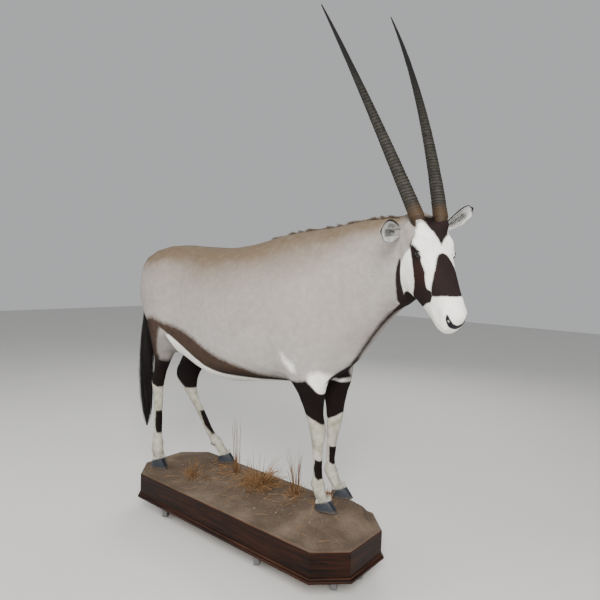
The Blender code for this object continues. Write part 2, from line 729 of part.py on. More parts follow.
def make_hide():
    """The whole skin with ears and dewclaws, cut to seat horns, eyes and hooves."""
    hide = fused_hide()
    right_ear = ear_mesh("right_ear_form", HEAD @ mirrored(EAR_ROOT, -1), RIGHT_EAR_WAY,
                         RIGHT_EAR_OPENS)
    left_ear = ear_mesh("left_ear_form", HEAD @ mirrored(EAR_ROOT, 1), LEFT_EAR_WAY,
                        LEFT_EAR_OPENS)
    for tool in (right_ear, left_ear):
        combine(hide, tool, "UNION")
    for leg in HOOVES:
        for sign in (1, -1):
            knob = add_object(f"{leg}_dewclaw_form", dewclaw_mesh(leg, sign), None, ANIMAL, CUTTERS)
            combine(hide, knob, "UNION")
        combine(hide, below_coronet_cutter(leg), "DIFFERENCE")
    for side, sign in (("left", 1), ("right", -1)):
        combine(hide, horn_seat_cutter(f"{side}_horn_seat", sign), "DIFFERENCE")
        combine(hide, eye_socket_cutter(f"{side}_eye_socket", sign), "DIFFERENCE")
    drop_specks(hide)
    smooth_shade(hide.data, 70)
    hide.data.materials.clear()
    hide.data.materials.append(FUR)
    return hide


def make_animal():
    """Skin, horns, eyes, hooves and tail hair."""
    make_hide()
    for side, sign in (("left", 1), ("right", -1)):
        make_horn(f"{side}_horn", sign)
        make_eye(f"{side}_eye", sign)
    for leg in HOOVES:
        for half, sign in (("left", 1), ("right", -1)):
            make_claw(f"{leg}_{half}_claw", leg, sign)
    hair = loft("tail_switch", leg_rings(TAIL_SWITCH, 10, 2))
    add_object("tail_switch", smooth_shade(hair, 60), BLACK_HAIR, ANIMAL)


def base_corners(outward):
    """Corners of the octagon moved outward, anticlockwise from the front right."""
    half_x, half_y = BASE_LENGTH / 2 + outward, BASE_WIDTH / 2 + outward
    cut = CORNER_CUT + outward * (2 - math.sqrt(2))
    quarter = [(half_x - cut, -half_y), (half_x, -half_y + cut), (half_x, half_y - cut),
               (half_x - cut, half_y)]
    return [Vector(corner) for corner in quarter + [(-x, -y) for x, y in quarter]]


def make_strip(name, profile, edge, look):
    """Mitred length of a profile, given as (outward, z) points, along one edge."""
    rings = []
    for end, corner in enumerate((edge, (edge + 1) % 8)):
        ring = []
        for outward, z in profile:
            corners = base_corners(outward)
            along = (corners[(edge + 1) % 8] - corners[edge]).normalized()
            point = corners[corner] + along * (GAP if end == 0 else -GAP)
            ring.append((point.x, point.y, z))
        rings.append(ring)
    return add_object(name, loft(name, rings), look, MOUNT)


def prism(name, corners, low, high, look, group=None):
    """Flat outline raised between two heights."""
    curve = bpy.data.curves.new(name, "CURVE")
    curve.dimensions = "2D"
    curve.fill_mode = "BOTH"
    curve.extrude = (high - low) / 2
    line = curve.splines.new("POLY")
    line.points.add(len(corners) - 1)
    for point, corner in zip(line.points, corners):
        point.co = (corner[0], corner[1], 0, 1)
    line.use_cyclic_u = True
    thing = bpy.data.objects.new(name, curve)
    CUTTERS.objects.link(thing)
    mesh = baked(thing)
    bpy.data.objects.remove(thing)
    shape = bmesh.new()
    shape.from_mesh(mesh)
    bmesh.ops.remove_doubles(shape, verts=shape.verts, dist=0.00005)
    bmesh.ops.translate(shape, verts=shape.verts, vec=(0, 0, (low + high) / 2))
    bmesh.ops.recalc_face_normals(shape, faces=shape.faces)
    shape.to_mesh(mesh)
    shape.free()
    return add_object(name, mesh, look, MOUNT, group)


EDGE_NAMES = ("front_right", "front", "front_left", "left", "rear_left", "rear", "rear_right",
              "right")


def make_base():
    """Boards, moulding and deck."""
    board = ((-BOARD_THICKNESS, FOOT_Z + GAP), (0, FOOT_Z + GAP), (0, RIM_Z - 0.0025),
             (-0.0025, RIM_Z), (-BOARD_THICKNESS, RIM_Z))
    step_z = FOOT_Z + MOULDING_HEIGHT * 0.55
    top_z = FOOT_Z + MOULDING_HEIGHT
    moulding = ((GAP, FOOT_Z), (MOULDING_OUT, FOOT_Z), (MOULDING_OUT, step_z - 0.002),
                (MOULDING_OUT - 0.002, step_z), (MOULDING_OUT * 0.55, step_z),
                (MOULDING_OUT * 0.55, top_z - 0.002), (MOULDING_OUT * 0.35, top_z), (GAP, top_z))
    for edge, name in enumerate(EDGE_NAMES):
        make_strip(f"{name}_board", board, edge, WALNUT)
        make_strip(f"{name}_moulding", moulding, edge, MOULDING_WOOD)
    inside = base_corners(-BOARD_THICKNESS - GAP)
    prism("deck", inside, FOOT_Z + GAP, FOOT_Z + GAP + DECK_THICKNESS, PLYWOOD)


def hoof_soles():
    """Sole middles of the four hooves in the base's frame."""
    turn = Matrix.Translation(ANIMAL_PLACE) @ Matrix.Rotation(ANIMAL_YAW, 4, "Z")
    return [turn @ (hoof_frame(leg) @ Vector((0.018, 0, HOOVES[leg][2] - HOOVES[leg][0][2])))
            for leg in HOOVES]


SOLES = hoof_soles()


def ground_height(x, y):
    """Height of the sand: mounds that die out at the rim, and a flat place under each hoof."""
    to_edge = min(BASE_LENGTH / 2 - abs(x), BASE_WIDTH / 2 - abs(y),
                  (BASE_LENGTH / 2 + BASE_WIDTH / 2 - CORNER_CUT - abs(x) - abs(y)) / math.sqrt(2))
    fade = min(max((to_edge - BOARD_THICKNESS) / 0.060, 0.0), 1.0)
    fade = fade * fade * (3 - 2 * fade)
    rise = 0.004 + sum(high * math.exp(-((x - a) ** 2 + (y - b) ** 2) / (radius ** 2))
                       for a, b, high, radius in MOUNDS)
    height = RIM_Z - GROUND_EDGE_DROP + rise * fade
    for sole in SOLES:
        away = math.hypot(x - sole.x, y - sole.y)
        height = min(height, sole.z - 2 * GAP + PAD_BANK * max(away - PAD_RADIUS, 0.0))
    return height


def make_ground():
    """Block of sand filling the octagon above the deck."""
    columns, rows = GROUND_CELLS
    bpy.ops.mesh.primitive_grid_add(x_subdivisions=columns, y_subdivisions=rows, size=1)
    thing = bpy.context.active_object
    shape = bmesh.new()
    shape.from_mesh(thing.data)
    bpy.data.objects.remove(thing)
    for vertex in shape.verts:
        x, y = vertex.co.x * BASE_LENGTH, vertex.co.y * BASE_WIDTH
        vertex.co = (x, y, ground_height(x, y))
    made = bmesh.ops.extrude_face_region(shape, geom=list(shape.faces))
    floor = FOOT_Z + 2 * GAP + DECK_THICKNESS
    for item in made["geom"]:
        if isinstance(item, bmesh.types.BMVert):
            item.co.z = floor
    under = [face for face in shape.faces if all(abs(v.co.z - floor) < GAP / 2 for v in face.verts)]
    bmesh.ops.dissolve_faces(shape, faces=under)
    bmesh.ops.recalc_face_normals(shape, faces=shape.faces)
    mesh = bpy.data.meshes.new("ground")
    shape.to_mesh(mesh)
    shape.free()
    ground = add_object("ground", mesh, SAND, MOUNT)
    inside = base_corners(-BOARD_THICKNESS - GAP)
    trim = prism("ground_outline", inside, 0.0, 0.5, None, CUTTERS)
    combine(ground, trim, "INTERSECT")
    drop_specks(ground)
    smooth_shade(ground.data, 40)
    return ground


def make_grass(name):
    """Plain spindle that reaches the tips of one tuft."""
    (x, y), (lean_x, lean_y), height, radius = GRASS[name]
    side, up = outline(16, 2)
    root_z = max(ground_height(x + dx * reach, y + dy * reach)
                 for reach in (0, radius / 2, radius) for dx, dy in zip(side, up)) + 2 * GAP
    side, up = outline(8, 2)
    rings = []
    for share, wide in ((0.0, 0.45), (0.18, 0.85), (0.5, 1.0), (0.8, 0.75), (1.0, 0.25)):
        rings.append([(x + lean_x * share + radius * wide * a, y + lean_y * share + radius * wide * b,
                       root_z + height * share) for a, b in zip(side, up)])
    return add_object(name, smooth_shade(loft(name, rings), 60), DRY_GRASS, MOUNT)


def cylinder(radius, low, high, sides=16, axis="Z", centre=(0, 0, 0)):
    """Closed cylinder mesh along an axis."""
    shape = bmesh.new()
    bmesh.ops.create_cone(shape, cap_ends=True, segments=sides, radius1=radius, radius2=radius,
                          depth=high - low)
    bmesh.ops.translate(shape, verts=shape.verts, vec=(0, 0, (low + high) / 2))
    if axis == "Y":
        bmesh.ops.transform(shape, matrix=Matrix.Rotation(math.radians(-90), 4, "X"),
                            verts=shape.verts)
    bmesh.ops.translate(shape, verts=shape.verts, vec=centre)
    mesh = bpy.data.meshes.new("cylinder")
    shape.to_mesh(mesh)
    shape.free()
    return mesh


def box(size, centre):
    """Closed box mesh."""
    shape = bmesh.new()
    bmesh.ops.create_cube(shape, size=1)
    bmesh.ops.transform(shape, matrix=Matrix.Translation(centre) @ Matrix.Diagonal((*size, 1)),
                        verts=shape.verts)
    mesh = bpy.data.meshes.new("box")
    shape.to_mesh(mesh)
    shape.free()
    return mesh


def united(name, meshes, look, parent):
    """One solid from overlapping meshes."""
    whole = add_object(name, meshes[0], look, parent)
    for mesh in meshes[1:]:
        tool = add_object(f"{name}_piece", mesh, None, parent, CUTTERS)
        combine(whole, tool, "UNION")
        bpy.data.objects.remove(tool)
    drop_specks(whole)
    smooth_shade(whole.data, 35)
    return whole


def wheel_mesh():
    """Profile turned about the axle, a flat of its tread on the floor."""
    outer = WHEEL_RADIUS / math.cos(math.pi / WHEEL_SIDES)
    bore = AXLE_RADIUS + GAP
    half = WHEEL_WIDTH / 2
    profile = ((outer - WHEEL_BEVEL, -half), (outer, WHEEL_BEVEL - half),
               (outer, half - WHEEL_BEVEL), (outer - WHEEL_BEVEL, half), (bore, half),
               (bore, -half))
    start = math.pi / WHEEL_SIDES - math.pi / 2
    line = bpy.data.meshes.new("wheel_profile")
    line.from_pydata([(r * math.cos(start), y, r * math.sin(start)) for r, y in profile],
                     [(i, (i + 1) % len(profile)) for i in range(len(profile))], [])
    turned = add_object("wheel_profile", line, None, None, CUTTERS)
    modifier(turned, "SCREW", axis="Y", angle=2 * math.pi, steps=WHEEL_SIDES,
             render_steps=WHEEL_SIDES, use_merge_vertices=True, merge_threshold=0.0001)
    mesh = baked(turned)
    bpy.data.objects.remove(turned)
    shape = bmesh.new()
    shape.from_mesh(mesh)
    bmesh.ops.recalc_face_normals(shape, faces=shape.faces)
    shape.to_mesh(mesh)
    shape.free()
    return mesh


def make_caster(number, x, y, angle):
    """Plate under the deck, a fork that swivels under it, and a wheel on the fork's axle."""
    plate_low = FOOT_Z - PLATE_SIZE[2]
    race_low = plate_low - RACE_HEIGHT
    united(f"caster_{number}_plate",
           [box(PLATE_SIZE, (x, y, FOOT_Z - PLATE_SIZE[2] / 2)),
            cylinder(RACE_RADIUS, race_low, plate_low + PLATE_SIZE[2] / 2, 12, "Z", (x, y, 0))],
           ZINC, MOUNT)
    swivel = empty(f"caster_{number}_swivel", MOUNT, (x, y, 0), math.radians(angle))
    crown_top = race_low - GAP
    inside = WHEEL_WIDTH / 2 + WHEEL_CLEARANCE
    outside = inside + FORK_LEG_THICKNESS
    crown_middle = (CROWN_LENGTH - FORK_LEG_LENGTH) / 2 - CASTER_TRAIL + FORK_LEG_LENGTH / 4
    fork = [box((CROWN_LENGTH, 2 * outside, CROWN_THICKNESS),
                (crown_middle, 0, crown_top - CROWN_THICKNESS / 2))]
    leg_top, leg_low = crown_top - CROWN_THICKNESS / 4, WHEEL_RADIUS - FORK_LEG_BELOW_AXLE
    for sign in (1, -1):
        fork.append(box((FORK_LEG_LENGTH, FORK_LEG_THICKNESS, leg_top - leg_low),
                        (-CASTER_TRAIL + FORK_LEG_LENGTH / 4, sign * (inside + outside) / 2,
                         (leg_top + leg_low) / 2)))
    fork.append(cylinder(AXLE_RADIUS, -outside - AXLE_END, outside + AXLE_END, 8, "Y",
                         (-CASTER_TRAIL, 0, WHEEL_RADIUS)))
    united(f"caster_{number}_fork", fork, ZINC, swivel)
    wheel = add_object(f"caster_{number}_wheel", smooth_shade(wheel_mesh(), 35), GREY_RUBBER,
                       swivel)
    wheel.location = (-CASTER_TRAIL, 0, WHEEL_RADIUS)


def make_casters():
    """Six casters in three pairs."""
    number = 0
    for x, spacing in CASTER_PAIRS:
        for y in (-spacing, spacing):
            make_caster(number + 1, x, y, CASTER_ANGLES[number])
            number += 1


make_base()
make_ground()
make_casters()
make_animal()
for tuft in GRASS:
    make_grass(tuft)
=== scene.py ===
"""Dresses the full body gemsbok mount: coat, horns, hooves, sand, grass, walnut and casters.

The animal's pieces are placed in the animal's own frame (+X ahead, +Y its left, +Z up) or in
the head's (x towards the nose, z out of the forehead), and baked into the part's frame.
"""
import json
import logging
import math
from dataclasses import dataclass, field
from enum import Enum
from typing import Callable, Sequence

import bpy
import numpy as np
from mathutils import Matrix, Vector, noise
from mathutils.bvhtree import BVHTree

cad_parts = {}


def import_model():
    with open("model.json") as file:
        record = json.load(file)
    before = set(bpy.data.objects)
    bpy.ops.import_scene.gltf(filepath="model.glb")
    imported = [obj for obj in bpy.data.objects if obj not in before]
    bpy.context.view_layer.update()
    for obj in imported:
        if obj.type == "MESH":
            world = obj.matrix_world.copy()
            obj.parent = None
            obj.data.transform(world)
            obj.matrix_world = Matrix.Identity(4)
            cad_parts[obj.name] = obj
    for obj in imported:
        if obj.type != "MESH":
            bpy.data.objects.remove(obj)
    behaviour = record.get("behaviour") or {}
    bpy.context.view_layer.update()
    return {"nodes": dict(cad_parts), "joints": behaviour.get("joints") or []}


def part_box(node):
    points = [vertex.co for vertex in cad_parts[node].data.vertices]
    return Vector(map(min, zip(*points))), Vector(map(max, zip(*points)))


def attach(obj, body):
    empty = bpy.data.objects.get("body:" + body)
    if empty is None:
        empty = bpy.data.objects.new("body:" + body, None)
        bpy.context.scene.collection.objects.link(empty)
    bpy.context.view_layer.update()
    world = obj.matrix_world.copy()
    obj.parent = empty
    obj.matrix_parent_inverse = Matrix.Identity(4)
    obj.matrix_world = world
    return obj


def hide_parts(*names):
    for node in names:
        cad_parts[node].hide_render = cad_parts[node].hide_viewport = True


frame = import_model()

LOG = logging.getLogger("gemsbok")
BODY = "mount"
BASE_CENTRE = Vector((-0.1157, -0.0366, 0.0))
BASE_HALF = (0.650, 0.223)
CORNER_CUT = 0.110
RIM_Z = 0.211
SAND_INSET = 0.020
ANIMAL = (Matrix.Translation(BASE_CENTRE) @ Matrix.Translation((0.0, 0.03, 0.0))
          @ Matrix.Rotation(math.radians(3.5), 4, "Z"))
HEAD = (ANIMAL @ Matrix.Translation((0.890, -0.165, 1.320))
        @ Matrix.Rotation(math.radians(-32), 4, "Z") @ Matrix.Rotation(math.radians(54), 4, "Y")
        @ Matrix.Rotation(math.radians(3.3), 4, "X"))
Colour = tuple[float, float, float]
Points = Sequence[Sequence[float]]


class Side(Enum):
    """Which of the animal's sides something is on."""

    RIGHT = -1
    LEFT = 1
    BOTH = 0


# Shared geometry helpers


def local(points: np.ndarray, place: Matrix) -> np.ndarray:
    """World points in the frame of a place.

    Args:
        points: World points, one row each.
        place: The frame's matrix in the world.

    Returns:
        The points in that frame.
    """
    back = np.array(place.inverted())
    return points @ back[:3, :3].T + back[:3, 3]


def world(points: np.ndarray, place: Matrix) -> np.ndarray:
    """Points of a place's frame in the world.

    Args:
        points: Points in the frame.
        place: The frame's matrix in the world.

    Returns:
        The world points.
    """
    there = np.array(place)
    return np.asarray(points, float) @ there[:3, :3].T + there[:3, 3]


def ease(value: np.ndarray, low: float, high: float) -> np.ndarray:
    """Smooth step from 0 at low to 1 at high.

    Args:
        value: Values to grade.
        low: Value that gives 0.
        high: Value that gives 1.

    Returns:
        The graded values.
    """
    share = np.clip((value - low) / (high - low), 0, 1)
    return share * share * (3 - 2 * share)


def within(points: np.ndarray, outline: Points) -> np.ndarray:
    """Distance of flat points to a closed outline, positive inside.

    Args:
        points: Flat points, one row each.
        outline: The outline's corners in order.

    Returns:
        Signed distances in metres.
    """
    corners = np.array(outline, float)
    nearest = np.full(len(points), 9.0)
    inside = np.zeros(len(points), bool)
    for start, end in zip(corners, np.roll(corners, -1, 0)):
        run, to = end - start, points - start
        share = np.clip(to @ run / (run @ run), 0, 1)
        nearest = np.minimum(nearest, np.hypot(*(to - share[:, None] * run).T))
        crosses = (start[1] > points[:, 1]) != (end[1] > points[:, 1])
        rise = run[1] if abs(run[1]) > 1e-9 else 1e-9
        inside ^= crosses & (points[:, 0] < start[0] + to[:, 1] / rise * run[0])
    return np.where(inside, nearest, -nearest)


def fold(head: np.ndarray) -> np.ndarray:
    """Head points with those of the right half laid over the left."""
    return head * np.where(head[:, 1:2] < 0, (1, -1, 1), (1, 1, 1))


def stroke(points: np.ndarray, path: Points) -> np.ndarray:
    """Depth of points inside a round stroke of changing radius.

    Args:
        points: Points in the stroke's frame.
        path: Rows of x, y, z and radius along the stroke.

    Returns:
        Radius less distance, positive inside.
    """
    rows = np.array(path, float)
    best = np.full(len(points), -9.0)
    for start, end in zip(rows, rows[1:]):
        run = end[:3] - start[:3]
        share = np.clip((points - start[:3]) @ run / (run @ run), 0, 1)
        gap = np.linalg.norm(points - start[:3] - share[:, None] * run, axis=1)
        best = np.maximum(best, start[3] + share * (end[3] - start[3]) - gap)
    return best


def through(rows: Points, steps: int) -> np.ndarray:
    """Smooth curve through rows of numbers.

    Args:
        rows: The rows to pass through.
        steps: Rows made for each span.

    Returns:
        The finer rows.
    """
    given = np.array(rows, float)
    ends = np.vstack([2 * given[0] - given[1], given, 2 * given[-1] - given[-2]])
    made = []
    for start in range(len(given) - 1):
        a, b, c, d = ends[start:start + 4]
        for t in np.arange(steps) / steps:
            made.append(0.5 * (2 * b + (c - a) * t + (2 * a - 5 * b + 4 * c - d) * t ** 2
                               + (3 * b - a - 3 * c + d) * t ** 3))
    return np.array(made + [given[-1]])


class Bench:
    """The modelling steps that the pieces share."""

    @staticmethod
    def activate(*things: bpy.types.Object) -> None:
        """Select only these objects and make the first one active."""
        if bpy.context.mode != "OBJECT":
            bpy.ops.object.mode_set(mode="OBJECT")
        bpy.ops.object.select_all(action="DESELECT")
        for thing in things:
            thing.select_set(True)
        bpy.context.view_layer.objects.active = things[0]

    @staticmethod
    def new(name: str, points: np.ndarray, faces: Sequence) -> bpy.types.Object:
        """Object from world points and faces.

        Args:
            name: Name of the piece.
            points: World points.
            faces: Point numbers of each face.

        Returns:
            The linked object.
        """
        mesh = bpy.data.meshes.new(name)
        mesh.from_pydata(np.asarray(points).tolist(), [], [tuple(f) for f in faces])
        thing = bpy.data.objects.new(name, mesh)
        bpy.context.scene.collection.objects.link(thing)
        return thing

    @staticmethod
    def copy_node(node: str, name: str) -> bpy.types.Object:
        """Merged copy of a CAD node, free of its body.

        Args:
            node: Name of the CAD node.
            name: Name of the copy.

        Returns:
            The copy.
        """
        source = frame["nodes"][node]
        thing = bpy.data.objects.new(name, source.data.copy())
        thing.data.name = name
        thing.data.materials.clear()
        bpy.context.scene.collection.objects.link(thing)
        Bench.activate(thing)
        bpy.ops.object.mode_set(mode="EDIT")
        bpy.ops.mesh.select_all(action="SELECT")
        bpy.ops.mesh.remove_doubles(threshold=0.00002)
        bpy.ops.object.mode_set(mode="OBJECT")
        if thing.data.has_custom_normals:
            bpy.ops.mesh.customdata_custom_splitnormals_clear()
        return thing

    @staticmethod
    def modify(thing: bpy.types.Object, kind: str, **settings: object) -> None:
        """Add a modifier with these settings and apply it at once."""
        Bench.activate(thing)
        made = thing.modifiers.new(kind.title(), kind)
        for key, value in settings.items():
            setattr(made, key, value)
        bpy.ops.object.modifier_apply(modifier=made.name)

    @staticmethod
    def subdivide(thing: bpy.types.Object, levels: int, simple: bool = False) -> None:
        """Apply a subdivision surface."""
        Bench.modify(thing, "SUBSURF", levels=levels, render_levels=levels,
                     subdivision_type="SIMPLE" if simple else "CATMULL_CLARK")

    @staticmethod
    def smooth(thing: bpy.types.Object, angle: float = 180.0) -> None:
        """Shade smooth, with edges sharper than the angle kept."""
        Bench.activate(thing)
        bpy.ops.object.shade_smooth_by_angle(angle=math.radians(angle))

    @staticmethod
    def outward(thing: bpy.types.Object) -> None:
        """Point every face outwards."""
        Bench.activate(thing)
        bpy.ops.object.mode_set(mode="EDIT")
        bpy.ops.mesh.select_all(action="SELECT")
        bpy.ops.mesh.normals_make_consistent(inside=False)
        bpy.ops.object.mode_set(mode="OBJECT")

    @staticmethod
    def points(thing: bpy.types.Object) -> np.ndarray:
        """World points of a finished piece's mesh."""
        flat = np.empty(len(thing.data.vertices) * 3)
        thing.data.vertices.foreach_get("co", flat)
        return flat.reshape(-1, 3)

    @staticmethod
    def normals(thing: bpy.types.Object) -> np.ndarray:
        """Point normals of a mesh."""
        flat = np.empty(len(thing.data.vertices) * 3, np.float32)
        thing.data.vertex_normals.foreach_get("vector", flat)
        return flat.reshape(-1, 3).astype(float)

    @staticmethod
    def place(thing: bpy.types.Object, points: np.ndarray) -> None:
        """Move a mesh's points to new world places."""
        thing.data.vertices.foreach_set("co", np.ascontiguousarray(points, float).ravel())
        thing.data.update()

    @staticmethod
    def attribute(thing: bpy.types.Object, name: str, values: np.ndarray) -> None:
        """Store one number for each point."""
        made = thing.data.attributes.new(name, "FLOAT", "POINT")
        made.data.foreach_set("value", np.ascontiguousarray(values, np.float32))

    @staticmethod
    def weights(thing: bpy.types.Object, name: str, values: np.ndarray) -> None:
        """Vertex group with one weight for each point, to a hundredth."""
        group = thing.vertex_groups.new(name=name)
        steps = np.round(values * 50).astype(int)
        for step in np.unique(steps):
            group.add(np.nonzero(steps == step)[0].tolist(), float(step) / 50, "REPLACE")

    @staticmethod
    def join(name: str, things: Sequence[bpy.types.Object]) -> bpy.types.Object:
        """One piece from several, under a new name."""
        Bench.activate(*things)
        if len(things) > 1:
            bpy.ops.object.join()
        whole = bpy.context.view_layer.objects.active
        whole.name = whole.data.name = name
        return whole

    @staticmethod
    def settle(thing: bpy.types.Object) -> bpy.types.Object:
        """Bake an object's place into its mesh."""
        Bench.activate(thing)
        bpy.ops.object.transform_apply(location=True, rotation=True, scale=True)
        return thing


def hand_over(thing: bpy.types.Object, look: bpy.types.Material, slot: str,
              *nodes: str, body: str = BODY) -> None:
    """Give a finished piece its look, its body and the nodes it stands for.

    Args:
        thing: The finished piece.
        look: Its material.
        slot: The record's material slot; not used.
        nodes: CAD nodes that it replaces, if any.
        body: The CAD body that carries it.
    """
    thing.data.materials.clear()
    thing.data.materials.append(look)
    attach(thing, body)
    if nodes:
        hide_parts(*nodes)
    triangles = sum(len(face.vertices) - 2 for face in thing.data.polygons)
    LOG.info("%s: %d triangles on %s", thing.name, triangles, body)


# Materials


class Number:
    """A number socket that takes part in Python expressions."""

    def __init__(self, dress: "Dress", socket: bpy.types.NodeSocket) -> None:
        """Keep the material and the socket."""
        self.dress = dress
        self.socket = socket

    def _math(self, operation: str, first: object, second: object = None) -> "Number":
        """Add one Math node.

        Args:
            operation: The node's operation.
            first: First number or socket.
            second: Second one, if the operation has two.

        Returns:
            The node's result.
        """
        values = {0: first} if second is None else {0: first, 1: second}
        node = self.dress.node("ShaderNodeMath", {"operation": operation}, values)
        return Number(self.dress, node.outputs[0])

    def __add__(self, other: object) -> "Number":
        """Sum."""
        return self._math("ADD", self, other)

    __radd__ = __add__

    def __sub__(self, other: object) -> "Number":
        """Difference."""
        return self._math("SUBTRACT", self, other)

    def __rsub__(self, other: object) -> "Number":
        """Difference from a plain number."""
        return self._math("SUBTRACT", other, self)

    def __mul__(self, other: object) -> "Number":
        """Product."""
        return self._math("MULTIPLY", self, other)

    __rmul__ = __mul__

    def __truediv__(self, other: object) -> "Number":
        """Quotient."""
        return self._math("DIVIDE", self, other)

    def clip(self) -> "Number":
        """Kept between 0 and 1."""
        node = self.dress.node("ShaderNodeClamp", {}, {0: self})
        return Number(self.dress, node.outputs[0])

    def wave(self) -> "Number":
        """Sine."""
        return self._math("SINE", self)

    def size(self) -> "Number":
        """Value without its sign."""
        return self._math("ABSOLUTE", self)


class Dress:
    """One procedural material around a Principled shader."""

    def __init__(self, name: str) -> None:
        """Start a material with a bare Principled shader."""
        self.material = bpy.data.materials.new(name)
        self.material.use_nodes = True
        self.tree = self.material.node_tree
        self.shader = self.tree.nodes["Principled BSDF"]
        coordinates = self.node("ShaderNodeTexCoord", {}, {})
        self.place = coordinates.outputs["Object"]
        parts = self.node("ShaderNodeSeparateXYZ", {}, {0: self.place})
        self.x, self.y, self.z = (Number(self, parts.outputs[i]) for i in range(3))

    def node(self, kind: str, settings: dict, values: dict) -> bpy.types.Node:
        """Add a node, make its settings, then fill or link its sockets.

        Args:
            kind: The node's type.
            settings: Properties set first; "stops" is a ramp's list of place and colour.
            values: Socket name or number to a value, a Number or a socket.

        Returns:
            The node.
        """
        made = self.tree.nodes.new(kind)
        for key, value in settings.items():
            if key == "stops":
                ramp = made.color_ramp
                while len(ramp.elements) < len(value):
                    ramp.elements.new(1.0)
                for element, (position, colour) in zip(ramp.elements, value):
                    element.position, element.color = position, (*colour, 1.0)
            else:
                setattr(made, key, value)
        for key, value in values.items():
            self.feed(made.inputs[key], value)
        return made

    def feed(self, socket: bpy.types.NodeSocket, value: object) -> None:
        """Link a socket, or set its constant."""
        if isinstance(value, Number):
            value = value.socket
        if isinstance(value, bpy.types.NodeSocket):
            self.tree.links.new(value, socket)
        elif isinstance(value, tuple) and len(value) == 3 and socket.type == "RGBA":
            socket.default_value = (*value, 1.0)
        else:
            socket.default_value = value

    def set(self, **values: object) -> None:
        """Feed the shader's sockets, given by name with _ for spaces."""
        for key, value in values.items():
            self.feed(self.shader.inputs[key.replace("_", " ")], value)

    def stretched(self, scale: Sequence[float], turn: Sequence[float] = (0, 0, 0)) -> object:
        """Object coordinates scaled along each axis."""
        return self.node("ShaderNodeMapping", {}, {0: self.place, "Rotation": turn,
                                                   "Scale": scale}).outputs[0]

    def noise(self, scale: float, detail: float = 3.0, vector: object = None,
              roughness: float = 0.55) -> Number:
        """Noise from 0 to 1 at a scale per metre."""
        made = self.node("ShaderNodeTexNoise", {}, {
            "Vector": vector or self.place, "Scale": scale, "Detail": detail,
            "Roughness": roughness})
        return Number(self, made.outputs[0])

    def cells(self, scale: float, vector: object = None) -> Number:
        """Distance to the nearest of scattered points."""
        made = self.node("ShaderNodeTexVoronoi", {}, {"Vector": vector or self.place,
                                                      "Scale": scale})
        return Number(self, made.outputs[0])

    def mark(self, name: str) -> Number:
        """Number stored on the mesh's points."""
        made = self.node("ShaderNodeAttribute", {"attribute_name": name}, {})
        return Number(self, made.outputs["Fac"])

    def mix(self, share: object, first: object, second: object) -> bpy.types.NodeSocket:
        """Colour between two, by a share."""
        made = self.node("ShaderNodeMix", {"data_type": "RGBA"}, {0: share, 6: first, 7: second})
        return made.outputs[2]

    def bump(self, height: Number, depth: float, strength: float = 1.0) -> bpy.types.NodeSocket:
        """Normal from a height, whose full range is this depth in metres."""
        values = {"Height": height, "Distance": depth, "Strength": strength}
        return self.node("ShaderNodeBump", {}, values).outputs[0]


